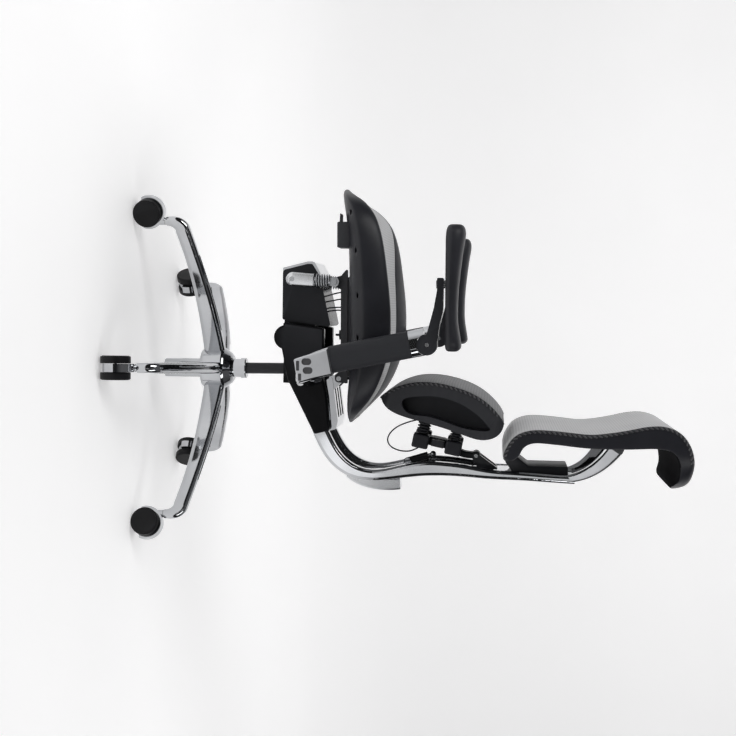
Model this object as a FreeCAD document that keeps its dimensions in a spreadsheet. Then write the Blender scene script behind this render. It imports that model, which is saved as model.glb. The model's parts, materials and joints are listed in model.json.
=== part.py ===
import FreeCAD, Part
import math
import os
from types import SimpleNamespace

import Sketcher
from FreeCAD import Placement, Rotation, Vector

# Office chair with a mesh seat, a lumbar support and an upper-back support.
# The front faces -Y, the chair's left side +X, and the floor is at Z = 0 under the column.
# Pieces above the column are drawn with Z = 0 on the tilt shaft and then lifted to its height.

# Sizes in millimetres and degrees
SIZES = (
    ("wheel_diameter", 58, "caster wheel over its tread"),
    ("wheel_width", 15, "one wheel of a twin caster"),
    ("wheel_round", 4, "rounding of the tread's edges"),
    ("wheel_gap", 0.5, "between a wheel and its hood"),
    ("hood_width", 16, "caster hood between its wheels"),
    ("hood_radius", 35, "hood's outer arc about the axle"),
    ("hood_core_radius", 25, "hood's disc between the wheels"),
    ("hood_lip_height", 17, "lower end of the outer arc above the floor"),
    ("hood_boss_radius", 8, "hood's boss round the stem"),
    ("hood_boss_top", 63, "top of that boss above the floor"),
    ("axle_diameter", 6, "caster axle"),
    ("caster_trail", 20, "wheel axle behind the stem"),
    ("fit_clearance", 0.05, "radial room in every pin, shaft and bore"),
    ("stem_circle_radius", 322, "caster stems about the column"),
    ("stem_diameter", 11, "stem in the base socket"),
    ("stem_pivot_diameter", 8, "stem inside the hood"),
    ("stem_pivot_depth", 20, "stem inside the hood"),
    ("stem_collar_radius", 7.5, "collar between hood and socket"),
    ("stem_insert", 26, "stem inside the socket"),
    ("socket_height", 66, "socket's underside above the floor"),
    ("socket_size", 19, "base arm across its socket"),
    ("base_turn", -2.37, "turn of the first base arm from the left side"),
    ("base_arm_width", 25, "base arm across, at the hub"),
    ("base_arm_depth", 46, "base arm's height at the hub"),
    ("base_tip_depth", 31, "base arm's height before its elbow"),
    ("base_arm_height", 153, "middle of the arm at the hub above the floor"),
    ("base_tip_height", 99.5, "middle of the arm before its elbow"),
    ("arm_groove_width", 7, "groove along the top of a base arm"),
    ("arm_groove_depth", 5, "groove along the top of a base arm"),
    ("hub_radius", 44, "hub of the base"),
    ("hub_bottom", 124, "hub above the floor"),
    ("hub_top", 192, "hub above the floor"),
    ("tube_radius", 20, "gas spring's outer tube"),
    ("tube_wall", 3, "gas spring's outer tube"),
    ("tube_bottom", 42, "outer tube above the floor"),
    ("tube_top", 208, "outer tube above the floor"),
    ("bush_flange_radius", 22, "guide bush above the tube"),
    ("bush_flange_height", 12, "guide bush above the tube"),
    ("bush_length", 80, "guide bush inside the tube"),
    ("cylinder_radius", 12, "gas cylinder"),
    ("cylinder_wall", 3, "gas cylinder"),
    ("cylinder_bottom", 135, "gas cylinder above the floor"),
    ("cylinder_seat", 52, "gas cylinder's top above the tilt shaft"),
    ("rod_radius", 5, "gas spring's piston rod"),
    ("rod_top", 272, "piston rod above the floor"),
    ("bearing_radius", 13, "thrust bearing"),
    ("bearing_height", 6, "thrust bearing"),
    ("chassis_height", 318, "tilt shaft above the floor"),
    ("tilt_setback", 69, "tilt shaft in front of the column"),
    ("tilt_shaft_radius", 9, "tilt shaft"),
    ("chassis_half_width", 76, "front of the chassis"),
    ("chassis_core_half_width", 46, "chassis between the spine's lower arms"),
    ("chassis_socket_radius", 30, "chassis round the gas cylinder"),
    ("cap_thickness", 5, "cap on the chassis front"),
    ("lower_arm_inside", 49, "inner face of the spine's lower arms"),
    ("lower_arm_outside", 64, "outer face of the spine's lower arms"),
    ("lower_arm_eye_radius", 20, "spine's eye round the tilt shaft"),
    ("cover_outside", 88, "outer face of the side covers"),
    ("cover_boss_radius", 25.5, "cover round the tilt shaft"),
    ("cover_round", 4, "outer edge of a side cover"),
    ("strut_offset", 95, "front struts from the middle"),
    ("strut_barrel_radius", 14.5, "front strut's barrel"),
    ("strut_pin_setback", 190, "strut's lower pin in front of the column"),
    ("strut_pin_height", 16, "strut's lower pin above the tilt shaft"),
    ("strut_eye_setback", 184, "strut's upper eye in front of the column"),
    ("strut_eye_height", 103, "strut's upper eye above the tilt shaft"),
    ("strut_barrel_length", 44, "barrel above its lower pin"),
    ("strut_rod_radius", 8, "front strut's rod"),
    ("strut_eye_radius", 10, "front strut's eye"),
    ("strut_eye_width", 18, "front strut's eye"),
    ("strut_pin_radius", 5, "pins through the struts"),
    ("spring_radius", 13.5, "coil spring at the middle of its wire"),
    ("spring_wire", 3, "coil spring's wire"),
    ("spring_turns", 6, "coil spring's turns"),
    ("carrier_inside", 66, "inner face of the carrier's side plates"),
    ("carrier_outside", 78, "outer face of the carrier's side plates"),
    ("carrier_top", 128, "carrier above the tilt shaft"),
    ("carrier_rail", 14, "height of the carrier's side plates"),
    ("rear_pin_radius", 5, "seat's rear pin"),
    ("rear_pin_set", 17, "seat's rear pin behind the column"),
    ("rear_pin_height", 110, "seat's rear pin above the tilt shaft"),
    ("rear_slot_room", 1, "play of the rear pin in its slotted ear"),
    ("bumper_radius", 10, "rubber bumper"),
    ("cable_diameter", 3, "control and lumbar cables"),
    ("seat_gap", 0.5, "between the seat and its carrier"),
    ("seat_half_width", 245, "seat shell"),
    ("seat_floor", 6, "seat shell's floor"),
    ("cable_opening_half_width", 56, "opening in the seat's floor for the cables"),
    ("cable_opening_front", 235, "opening's front edge in front of the column"),
    ("cable_opening_rear", 45, "opening's rear edge in front of the column"),
    ("mesh_thickness", 5, "stretched seat and back mesh with its edging"),
    ("control_box_length", 51, "box under the seat's left side"),
    ("control_box_height", 18, "box under the seat's left side"),
    ("control_box_width", 55, "box under the seat's left side"),
    ("control_box_inset", 95, "box's inner side from the edge of the seat"),
    ("lever_width", 34, "lever in front of the box"),
    ("arm_gap", 6, "between the seat's side and an arm sleeve"),
    ("arm_lean", 11.3, "forward lean of the arm sleeves"),
    ("sleeve_foot_setback", 30, "foot of the sleeve in front of the column"),
    ("sleeve_foot_height", 117, "foot of the sleeve above the tilt shaft"),
    ("sleeve_length", 157, "arm sleeve"),
    ("sleeve_depth", 53, "arm sleeve, front to back"),
    ("sleeve_width", 38, "arm sleeve, side to side"),
    ("sleeve_wall", 6, "arm sleeve"),
    ("post_depth", 105, "arm post inside its sleeve"),
    ("post_head", 31, "arm post's head above the sleeve"),
    ("swing_pivot_height", 34, "swing arm's pin above the sleeve, along it"),
    ("swing_pivot_set", 7, "swing arm's pin behind the sleeve's line"),
    ("swing_disc_radius", 20, "swing arm's round end"),
    ("swing_half_width", 15, "swing arm"),
    ("tongue_half_width", 6, "post's tongue between the swing arm's cheeks"),
    ("tongue_gap", 0.4, "beside the tongue"),
    ("swing_pin_radius", 4, "swing arm's pin"),
    ("spindle_setback", 177, "pad spindle in front of the column"),
    ("spindle_radius", 8, "pad spindle"),
    ("spindle_base", 321, "pad spindle above the tilt shaft"),
    ("spindle_height", 17, "pad spindle below the pad"),
    ("spindle_pin_radius", 5, "pad spindle inside the pad"),
    ("spindle_pin_length", 10, "pad spindle inside the pad"),
    ("pad_width", 88, "arm pad"),
    ("pad_gap", 0.5, "between spindle and pad"),
    ("rail_middle", 60, "spine rail from the middle"),
    ("rail_width", 27, "spine rail, side to side"),
    ("web_thickness", 8, "spine web between its rails"),
    ("upper_arm_spread", 140, "tip of the spine's upper arm from the middle"),
    ("back_half_width", 195, "upper-back frame"),
    ("back_rail_width", 46, "upper-back frame's side rails"),
    ("back_lip", 5, "frame's edge beside the mesh"),
    ("back_corner", 18, "upper-back mesh's corners seen from the front"),
    ("back_edge_round", 9, "rounding of the upper-back frame's side edges"),
    ("window_corner", 40, "corners of the upper-back frame's window"),
    ("window_depth", 90, "cut of that window, which stops under the roll"),
    ("roll_corner_width", 135, "rounded ends of the roll seen from above, across the chair"),
    ("roll_corner_depth", 70, "those rounded ends from front to rear"),
    ("foot_half_width", 56, "frame's foot on the spine"),
    ("lumbar_set", 75, "middle of the lumbar pad behind the column"),
    ("lumbar_height", 332, "middle of the lumbar pad above the tilt shaft"),
    ("lumbar_lean", 11.6, "rearward lean of the lumbar pad"),
    ("lumbar_half_width", 152, "lumbar pad"),
    ("lumbar_corner", 24, "lumbar pad's corners seen from the front"),
    ("lumbar_mesh_depth", 5, "mesh in front of the lumbar shell"),
    ("lumbar_pocket", 34, "hollow in each side of the lumbar shell"),
    ("bellows_offset", 48, "bellows posts from the middle"),
    ("bellows_radius", 13, "bellows posts over their ribs"),
    ("bellows_ribs", 5, "ribs of a bellows post"),
    ("bellows_end", 65.3, "rear end of the bellows posts behind the lumbar pad's middle"),
    ("lumbar_pin_radius", 4, "lumbar hanger's pin"),
    ("lumbar_pin_set", 180, "lumbar hanger's pin behind the column"),
    ("lumbar_pin_height", 396, "lumbar hanger's pin above the tilt shaft"),
    ("lumbar_strut_radius", 8, "lumbar strut's cylinder"),
    ("strut_foot_set", 196, "lumbar strut's lower pin behind the column"),
    ("strut_foot_height", 250, "lumbar strut's lower pin above the tilt shaft"),
    ("strut_foot_half_width", 7, "lumbar strut's foot"),
    ("lumbar_rod_radius", 3.5, "lumbar strut's rod"),
)

doc = FreeCAD.newDocument("OfficeChair")
sheet = doc.addObject("Spreadsheet::Sheet", "Sizes")


class Size:
    """A number together with the sheet expression that gives it."""

    def __init__(self, value, text):
        self.value = float(value)
        self.text = text

    def __float__(self):
        return self.value

    def __add__(self, other):
        other = as_size(other)
        return Size(self.value + other.value, f"({self.text} + {other.text})")

    def __sub__(self, other):
        other = as_size(other)
        return Size(self.value - other.value, f"({self.text} - {other.text})")

    def __mul__(self, factor):
        return Size(self.value * factor, f"({self.text} * {factor})")

    def __truediv__(self, divisor):
        return Size(self.value / divisor, f"({self.text} / {divisor})")

    def __neg__(self):
        return Size(-self.value, f"(-{self.text})")


def as_size(item):
    if isinstance(item, Size):
        return item
    return Size(item, repr(float(item)))


S = SimpleNamespace()
N = SimpleNamespace()
for row, (alias, value, note) in enumerate(SIZES, start=1):
    sheet.set(f"A{row}", alias)
    sheet.set(f"B{row}", str(value))
    sheet.set(f"C{row}", note)
    sheet.setAlias(f"B{row}", alias)
    setattr(S, alias, Size(value, f"Sizes.{alias}"))
    setattr(N, alias, value)
doc.recompute()
# The arm sleeves stand beside the widest part of the seat
arm_offset = N.seat_half_width + N.arm_gap + N.sleeve_width / 2

AXIS_TURN = {
    "X": Rotation(Vector(0, 1, 0), 90),
    "Y": Rotation(Vector(1, 0, 0), -90),
    "Z": Rotation(),
}
SIDEWAYS = Vector(1, 0, 0)
FORWARD = Vector(0, -1, 0)
UPWARD = Vector(0, 0, 1)
OVERRUN = 1.0
nodes = {}


def bind(target, prop, item):
    target.setExpression(prop, as_size(item).text)


def place(target, spot):
    for letter, item in zip("xyz", spot):
        bind(target, f"Placement.Base.{letter}", item)
    return target


def cylinder(name, radius, length, start, axis="Z"):
    """Round bar from its start point along an axis."""
    bar = doc.addObject("Part::Cylinder", name)
    bind(bar, "Radius", radius)
    bind(bar, "Height", length)
    bar.Placement = Placement(Vector(), AXIS_TURN[axis])
    return place(bar, start)


def box(name, length, width, height, corner):
    block = doc.addObject("Part::Box", name)
    bind(block, "Length", length)
    bind(block, "Width", width)
    bind(block, "Height", height)
    return place(block, corner)


def fuse(name, pieces):
    joined = doc.addObject("Part::MultiFuse", name)
    joined.Shapes = pieces
    joined.Refine = True
    return joined


def cut(name, base, tool):
    result = doc.addObject("Part::Cut", name)
    result.Base = base
    result.Tool = tool
    result.Refine = True
    return result


def common(name, pieces):
    shared = doc.addObject("Part::MultiCommon", name)
    shared.Shapes = pieces
    return shared


def feature(name, shape):
    made = doc.addObject("Part::Feature", name)
    made.Shape = shape
    return made


def origin_plane(body, role):
    for item in body.Origin.OriginFeatures:
        if item.Role == role:
            return item
    raise ValueError(role)


def turned(name, profile, role="XZ_Plane", rounds=()):
    """Body of revolution from (radius, height) points, with some of its edges rounded."""
    body = doc.addObject("PartDesign::Body", name)
    sketch = body.newObject("Sketcher::SketchObject", name + "Profile")
    sketch.AttachmentSupport = [(origin_plane(body, role), "")]
    sketch.MapMode = "FlatFace"
    points = [(as_size(radius), as_size(height)) for radius, height in profile]
    count = len(points)
    for index in range(count):
        start = Vector(*[float(item) for item in points[index]], 0)
        end = Vector(*[float(item) for item in points[(index + 1) % count]], 0)
        sketch.addGeometry(Part.LineSegment(start, end), False)
    for index, (radius, height) in enumerate(points):
        sketch.addConstraint(Sketcher.Constraint("Coincident", index, 2, (index + 1) % count, 1))
        across = sketch.addConstraint(
            Sketcher.Constraint("DistanceX", -1, 1, index, 1, float(radius)))
        bind(sketch, f"Constraints[{across}]", radius)
        upward = sketch.addConstraint(
            Sketcher.Constraint("DistanceY", -1, 1, index, 1, float(height)))
        bind(sketch, f"Constraints[{upward}]", height)
    spin = body.newObject("PartDesign::Revolution", name + "Turn")
    spin.Profile = sketch
    spin.ReferenceAxis = (sketch, ["V_Axis"])
    spin.Angle = 360
    doc.recompute()
    for corner, radius in rounds:
        base = body.Tip
        names = circle_edges(base.Shape, *points[corner])
        fillet = body.newObject("PartDesign::Fillet", f"{name}Round{corner}")
        fillet.Base = (base, names)
        bind(fillet, "Radius", radius)
        doc.recompute()
    return body


def circle_edges(shape, radius, height):
    """Names of the round edges of the given radius, centred that far along their own axis."""
    found = []
    for number, edge in enumerate(shape.Edges, start=1):
        curve = edge.Curve
        if not isinstance(curve, Part.Circle):
            continue
        along = max(curve.Center.x, curve.Center.y, curve.Center.z, key=abs)
        if abs(curve.Radius - float(radius)) < 1e-6 and abs(along - float(height)) < 1e-6:
            found.append(f"Edge{number}")
    return found


def rounded_outline(points):
    """Closed flat wire in the YZ plane from (y, z, corner radius) points."""
    spots = [Vector(0, y, z) for y, z, radius in points]
    count = len(points)
    ends = []
    for index, (y, z, radius) in enumerate(points):
        back = (spots[index - 1] - spots[index]).normalize()
        ahead = (spots[(index + 1) % count] - spots[index]).normalize()
        if radius == 0:
            ends.append((spots[index], spots[index], spots[index]))
            continue
        half = back.getAngle(ahead) / 2
        reach = radius / math.tan(half)
        inward = (back + ahead).normalize()
        crown = spots[index] + inward * (radius / math.sin(half) - radius)
        ends.append((spots[index] + back * reach, crown, spots[index] + ahead * reach))
    edges = []
    for index in range(count):
        first, crown, last = ends[index]
        if first != last:
            edges.append(Part.Arc(first, crown, last).toShape())
        following = ends[(index + 1) % count][0]
        if last.distanceToPoint(following) > 1e-6:
            edges.append(Part.LineSegment(last, following).toShape())
    return Part.Wire(edges)


def prism(wire, start, end):
    """Solid of a YZ outline between two X planes."""
    face = Part.Face(wire)
    face.translate(Vector(start, 0, 0))
    return face.extrude(Vector(end - start, 0, 0))


def ring(center, across, along, width, depth, corner):
    """Closed rounded rectangle, its width along one direction and its depth along the other."""
    half_width = width / 2
    half_depth = depth / 2
    corner = min(corner, 0.96 * half_width, 0.96 * half_depth)
    inner = corner * (1 - math.sqrt(0.5))

    def spot(a, b):
        return center + across * a + along * b

    edges = []
    for sx, sy in ((1, 1), (-1, 1), (-1, -1), (1, -1)):
        side = spot(sx * half_width, sy * (half_depth - corner))
        crown = spot(sx * (half_width - inner), sy * (half_depth - inner))
        top = spot(sx * (half_width - corner), sy * half_depth)
        first, last = (side, top) if sx == sy else (top, side)
        edges.append((first, crown, last))
    path = []
    for index, (first, crown, last) in enumerate(edges):
        path.append(Part.Arc(first, crown, last).toShape())
        path.append(Part.LineSegment(last, edges[(index + 1) % 4][0]).toShape())
    return Part.Wire(path)


def outward(solid):
    """The same solid with its faces turned outward."""
    if solid.Volume < 0:
        solid.reverse()
    return solid


def bar(stations, side, ends=(None, None)):
    """Loft along stations of (x, y, z, width, depth, corner), each section square to the line.

    The width lies along the side direction. The end sections may face a given way.
    """
    spots = [Vector(*station[:3]) for station in stations]
    last = len(spots) - 1
    rings = []
    for index, (x, y, z, width, depth, corner) in enumerate(stations):
        heading = spots[min(index + 1, last)] - spots[max(index - 1, 0)]
        if index == 0 and ends[0]:
            heading = ends[0]
        if index == last and ends[1]:
            heading = ends[1]
        heading = Vector(heading).normalize()
        across = (side - heading * side.dot(heading)).normalize()
        rings.append(ring(spots[index], across, heading.cross(across), width, depth, corner))
    return outward(Part.makeLoft(rings, True, False))


def mirrored(shape):
    return shape.mirror(Vector(), SIDEWAYS)


def both_sides(shape):
    return Part.makeCompound([shape, mirrored(shape)])


def round_bar(start, end, radius):
    """Plain round bar between two points."""
    line = end - start
    return Part.makeCylinder(radius, line.Length, start, line)


def tube_along(points, diameter, label):
    """Tube along straight runs joined by tangent arcs; prints its arcs' radii."""
    edges = []
    radii = []
    length = 0
    here = points[0]
    for index in range(1, len(points) - 1):
        corner = points[index]
        back = points[index - 1] - corner
        ahead = points[index + 1] - corner
        half = back.getAngle(ahead) / 2
        reach = 0.45 * min(back.Length, ahead.Length)
        radius = reach * math.tan(half)
        radii.append(radius)
        back.normalize()
        ahead.normalize()
        first = corner + back * reach
        last = corner + ahead * reach
        crown = corner + (back + ahead).normalize() * (radius / math.sin(half) - radius)
        edges.append(Part.LineSegment(here, first).toShape())
        edges.append(Part.Arc(first, crown, last).toShape())
        length += (first - here).Length + radius * (math.pi - 2 * half)
        here = last
    edges.append(Part.LineSegment(here, points[-1]).toShape())
    length += (points[-1] - here).Length
    path = Part.Wire(edges)
    heading = points[1] - points[0]
    section = Part.Wire(Part.Circle(points[0], heading, diameter / 2).toShape())
    tube = path.makePipeShell([section], True, False)
    share = tube.Volume / (math.pi * diameter ** 2 / 4 * length)
    print(f"{label}: length {length:.1f}, arcs {[round(r, 1) for r in radii]}, volume share {share:.3f}")
    return tube


def keep(label, piece, lifted=False):
    """Name a sub-part for its file; lifted pieces are drawn about the tilt shaft's height."""
    piece.Label = label
    if lifted:
        bind(piece, "Placement.Base.z", S.chassis_height + piece.Placement.Base.z)
    nodes[label] = piece
    return piece


# Base

def base_arm():
    """Arched arm along +X whose end bends down into the caster socket."""
    root = N.hub_radius - 14
    tip = N.stem_circle_radius - N.socket_size
    drop = N.base_arm_height - N.base_tip_height
    stations = []
    for share in (0, 0.2, 0.4, 0.6, 0.8, 1.0):
        fall = drop * (0.42 * share + 0.58 * share ** 2)
        width = N.base_arm_width + (N.socket_size + 3 - N.base_arm_width) * share
        depth = N.base_arm_depth + (N.base_tip_depth - N.base_arm_depth) * min(1, 1.4 * share)
        stations.append((root + (tip - root) * share, 0, N.base_arm_height - fall, width, depth, 9))
    tip_way = Vector(tip - root, 0, -1.58 * drop)
    arm = bar(stations, Vector(0, 1, 0), (SIDEWAYS, tip_way))
    bend = [stations[-1]]
    elbow = N.base_tip_height - N.socket_height
    for inward, lift, grow in ((9, 0.85, 10), (2.5, 0.57, 6), (0, 0.27, 2), (0, 0, 0)):
        size = N.socket_size + grow
        spot = (N.stem_circle_radius - inward, 0, N.socket_height + elbow * lift)
        bend.append((*spot, N.socket_size + min(grow, 1), size, 9))
    arm = arm.fuse(bar(bend, Vector(0, 1, 0), (tip_way, -UPWARD))).removeSplitter()
    groove_line = []
    for x, y, z, width, depth, corner in stations[1:5]:
        top = z + depth / 2 - N.arm_groove_depth / 2 + OVERRUN
        groove_line.append((x, 0, top, N.arm_groove_width, N.arm_groove_depth + 2 * OVERRUN, 2))
    return arm.cut(bar(groove_line, Vector(0, 1, 0)))


def base_angles():
    return [N.base_turn + 72 * number for number in range(5)]


def about_column(shape, angle):
    copy = shape.copy()
    copy.rotate(Vector(), UPWARD, angle)
    return copy


hub = turned("Hub", (
    (S.tube_radius + S.fit_clearance, S.hub_bottom),
    (S.hub_radius - 5, S.hub_bottom),
    (S.hub_radius, S.hub_bottom + 6),
    (S.hub_radius, S.hub_top - 20),
    (S.hub_radius - 12, S.hub_top - 4),
    (S.hub_radius - 18, S.hub_top),
    (S.tube_radius + S.fit_clearance, S.hub_top),
), rounds=((3, 10), (4, 4)))
star = hub.Shape
tube_bore = Part.makeCylinder(N.tube_radius + N.fit_clearance, N.hub_top)
socket = Part.makeCylinder(N.stem_diameter / 2 + N.fit_clearance, N.stem_insert + OVERRUN,
                           Vector(N.stem_circle_radius, 0, N.socket_height - OVERRUN))
arm = base_arm().cut(socket).cut(tube_bore)
star = star.fuse([about_column(arm, angle) for angle in base_angles()]).removeSplitter()
keep("base_star", feature("BaseStar", star))

stem_top = S.socket_height + S.stem_insert - 2
stem = turned("Stem", (
    (0, S.hood_boss_top - S.stem_pivot_depth),
    (S.stem_pivot_diameter / 2, S.hood_boss_top - S.stem_pivot_depth),
    (S.stem_pivot_diameter / 2, S.hood_boss_top + 0.5),
    (S.stem_collar_radius, S.hood_boss_top + 0.5),
    (S.stem_collar_radius, S.socket_height),
    (S.stem_diameter / 2, S.socket_height),
    (S.stem_diameter / 2, stem_top),
    (0, stem_top),
))


def at_stem(shape, angle):
    copy = shape.copy()
    copy.translate(Vector(N.stem_circle_radius, 0, 0))
    return about_column(copy, angle)


stems = Part.makeCompound([at_stem(stem.Shape, angle) for angle in base_angles()])
keep("caster_stems", feature("CasterStems", stems))

# Gas spring

tube_bore_radius = S.tube_radius - S.tube_wall
keep("gas_outer_tube", turned("OuterTube", (
    (S.rod_radius + S.fit_clearance, S.tube_bottom),
    (S.tube_radius, S.tube_bottom),
    (S.tube_radius, S.tube_top),
    (tube_bore_radius, S.tube_top),
    (tube_bore_radius, S.tube_bottom + S.tube_wall),
    (S.rod_radius + S.fit_clearance, S.tube_bottom + S.tube_wall),
)))
bearing_bottom = S.tube_bottom + S.tube_wall
keep("gas_thrust_bearing", turned("ThrustBearing", (
    (S.rod_radius + S.fit_clearance, bearing_bottom),
    (S.bearing_radius, bearing_bottom),
    (S.bearing_radius, bearing_bottom + S.bearing_height),
    (S.rod_radius + S.fit_clearance, bearing_bottom + S.bearing_height),
)))
keep("gas_guide_bush", turned("GuideBush", (
    (S.cylinder_radius + S.fit_clearance, S.tube_top - S.bush_length),
    (tube_bore_radius - S.fit_clearance, S.tube_top - S.bush_length),
    (tube_bore_radius - S.fit_clearance, S.tube_top),
    (S.bush_flange_radius, S.tube_top),
    (S.bush_flange_radius, S.tube_top + S.bush_flange_height),
    (S.cylinder_radius + S.fit_clearance, S.tube_top + S.bush_flange_height),
), rounds=((4, 2.5),)))
keep("gas_piston_rod", turned("PistonRod", (
    (0, S.tube_bottom - 4),
    (S.rod_radius, S.tube_bottom - 4),
    (S.rod_radius, bearing_bottom + S.bearing_height),
    (S.bearing_radius - 2, bearing_bottom + S.bearing_height),
    (S.bearing_radius - 2, bearing_bottom + S.bearing_height + 3),
    (S.rod_radius, bearing_bottom + S.bearing_height + 3),
    (S.rod_radius, S.rod_top),
    (0, S.rod_top),
)))
cylinder_top = S.chassis_height + S.cylinder_seat
cylinder_bore = S.cylinder_radius - S.cylinder_wall
keep("gas_cylinder", turned("GasCylinder", (
    (S.rod_radius + S.fit_clearance, S.cylinder_bottom),
    (S.cylinder_radius, S.cylinder_bottom),
    (S.cylinder_radius, cylinder_top),
    (0, cylinder_top),
    (0, cylinder_top - 8),
    (cylinder_bore, cylinder_top - 8),
    (cylinder_bore, S.cylinder_bottom + 12),
    (S.rod_radius + S.fit_clearance, S.cylinder_bottom + 12),
)))

# Casters

wheel_radius = S.wheel_diameter / 2
axle_radius = S.axle_diameter / 2
half_hood = S.hood_width / 2
hood_disc = cylinder("HoodDisc", S.hood_radius, S.hood_width, (S.caster_trail, -half_hood, wheel_radius), "Y")
hood_keep = box("HoodKeep", S.hood_radius * 3, S.hood_width, S.hood_radius * 2,
                (S.caster_trail - S.hood_radius * 1.5, -half_hood, S.hood_lip_height))
hood_core = cylinder("HoodCore", S.hood_core_radius, S.hood_width,
                     (S.caster_trail, -half_hood, wheel_radius), "Y")
boss_bottom = S.hood_boss_top - S.stem_pivot_depth - 2
hood_boss = cylinder("HoodBoss", S.hood_boss_radius, S.stem_pivot_depth + 2, (0, 0, boss_bottom))
hood_solid = fuse("HoodSolid", [common("HoodShell", [hood_disc, hood_keep]), hood_core, hood_boss])
axle_bore = cylinder("AxleBore", axle_radius + S.fit_clearance, S.hood_width + 2 * OVERRUN,
                     (S.caster_trail, -half_hood - OVERRUN, wheel_radius), "Y")
stem_bore = cylinder("StemBore", S.stem_pivot_diameter / 2 + S.fit_clearance,
                     S.stem_pivot_depth + 5, (0, 0, S.hood_boss_top - S.stem_pivot_depth - 0.5))
hood = cut("Hood", hood_solid, fuse("HoodBores", [axle_bore, stem_bore]))
axle_reach = half_hood + S.wheel_gap + S.wheel_width - 1.5
axle = cylinder("Axle", axle_radius, axle_reach * 2, (S.caster_trail, -axle_reach, wheel_radius), "Y")
wheel_inside = half_hood + S.wheel_gap
wheel_outside = wheel_inside + S.wheel_width
wheel = turned("Wheel", (
    (axle_radius + S.fit_clearance, wheel_inside),
    (wheel_radius, wheel_inside),
    (wheel_radius, wheel_outside - 1),
    (wheel_radius - 3, wheel_outside - 1),
    (wheel_radius - 3, wheel_outside),
    (0, wheel_outside),
    (0, wheel_outside - 1),
    (axle_radius + S.fit_clearance, wheel_outside - 1),
), role="XY_Plane", rounds=((1, 1.5), (2, S.wheel_round / 2), (4, 0.6)))
doc.recompute()
near_wheel = wheel.Shape.copy()
near_wheel.translate(Vector(N.caster_trail, 0, N.wheel_diameter / 2))
wheels = Part.makeCompound([near_wheel, near_wheel.mirror(Vector(), Vector(0, 1, 0))])
for number, angle in enumerate(base_angles(), start=1):
    keep(f"caster_{number}_hood", feature(f"Hood{number}", at_stem(hood.Shape, angle)))
    keep(f"caster_{number}_axle", feature(f"Axle{number}", at_stem(axle.Shape, angle)))
    keep(f"caster_{number}_wheels", feature(f"Wheels{number}", at_stem(wheels, angle)))

# Tilt mechanism

tilt_y = -N.tilt_setback
tilt_spot = Vector(0, tilt_y, 0)
CHASSIS_FRONT = (
    (-222, 44, 10), (-209, -8, 8), (-106, -9, 4), (-90, 93, 6), (-169, 76, 20), (-203, 66, 12), (-222, 54, 6))
COVER_SIDE = (
    (-100, -5, 3), (-60, -12, 6), (20, 4, 30), (133, 60, 5), (125, 92, 5), (56, 86, 40), (13, 78, 20),
    (-88, 80, 4))
LOWER_ARM_SIDE = (
    (tilt_y + 6, -18, 4), (60, 24, 40), (132, 58, 0), (124, 86, 0), (40, 60, 40), (tilt_y + 6, 18, 4))
TOP_PLATE = ((14, 95, 3), (106, 107, 14), (124, 103, 5), (131, 74, 0), (122, 74, 0), (108, 92, 8), (20, 83, 2))


def disc(center, radius, start, end):
    """Round plate about an X axis between two X planes."""
    return Part.makeCylinder(radius, end - start, Vector(start, center.y, center.z), SIDEWAYS)


def chassis_shape():
    front = prism(rounded_outline(CHASSIS_FRONT), -N.chassis_half_width, N.chassis_half_width)
    half = N.chassis_core_half_width
    core_side = ((-118, -9, 0), (28, -12, 0), (32, 50, 6), (-60, 50, 10), (-118, 60, 0))
    core = prism(rounded_outline(core_side), -half, half)
    collar = Part.makeCylinder(N.chassis_socket_radius, N.cylinder_seat + 12, Vector(0, 0, -14))
    solid = front.fuse([core, collar]).removeSplitter()
    bores = [
        Part.makeCylinder(N.cylinder_radius + N.fit_clearance, N.cylinder_seat + 14 + OVERRUN,
                          Vector(0, 0, -14 - OVERRUN)),
        disc(tilt_spot, N.tilt_shaft_radius + N.fit_clearance, -half - OVERRUN, half + OVERRUN),
        disc(strut_pin, N.strut_pin_radius + N.fit_clearance,
             -N.chassis_half_width - OVERRUN, N.chassis_half_width + OVERRUN),
    ]
    for bore in bores:
        solid = solid.cut(bore)
    return solid


strut_pin = Vector(0, -N.strut_pin_setback, N.strut_pin_height)
strut_eye = Vector(0, -N.strut_eye_setback, N.strut_eye_height)
chassis = chassis_shape()
keep("mech_chassis", feature("Chassis", chassis), lifted=True)

cap_front = ((-222 - N.cap_thickness, 44, 8), (-209 - N.cap_thickness, -8, 2), (-206, -8, 0), (-206, 0, 0),
             (-190, 60, 0), (-190, 72, 3), (-203, 71, 12), (-222 - N.cap_thickness, 58, 8))
cap = prism(rounded_outline(cap_front), -N.chassis_half_width, N.chassis_half_width).cut(chassis)
cap = max(cap.Solids, key=lambda solid: solid.Volume)
keep("mech_front_cap", feature("FrontCap", cap), lifted=True)

strut_shaft_end = N.strut_offset + N.strut_barrel_radius - 2
tilt_shaft_end = N.cover_outside - 3
mech_shafts = Part.makeCompound([
    disc(tilt_spot, N.tilt_shaft_radius, -tilt_shaft_end, tilt_shaft_end),
    disc(strut_pin, N.strut_pin_radius, -strut_shaft_end, strut_shaft_end),
])
keep("mech_shafts", feature("MechShafts", mech_shafts), lifted=True)


def cover_shape():
    inside = N.lower_arm_outside
    plate = prism(rounded_outline(COVER_SIDE), inside, N.cover_outside)
    plate = plate.fuse(disc(tilt_spot, N.cover_boss_radius, inside, N.cover_outside)).removeSplitter()
    rim = [edge for edge in plate.Edges if min(v.X for v in edge.Vertexes) > N.cover_outside - 1e-6]
    plate = plate.makeFillet(N.cover_round, rim)
    return plate.cut(disc(tilt_spot, N.tilt_shaft_radius + N.fit_clearance, inside - OVERRUN, N.cover_outside - 2))


# Front struts

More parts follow.
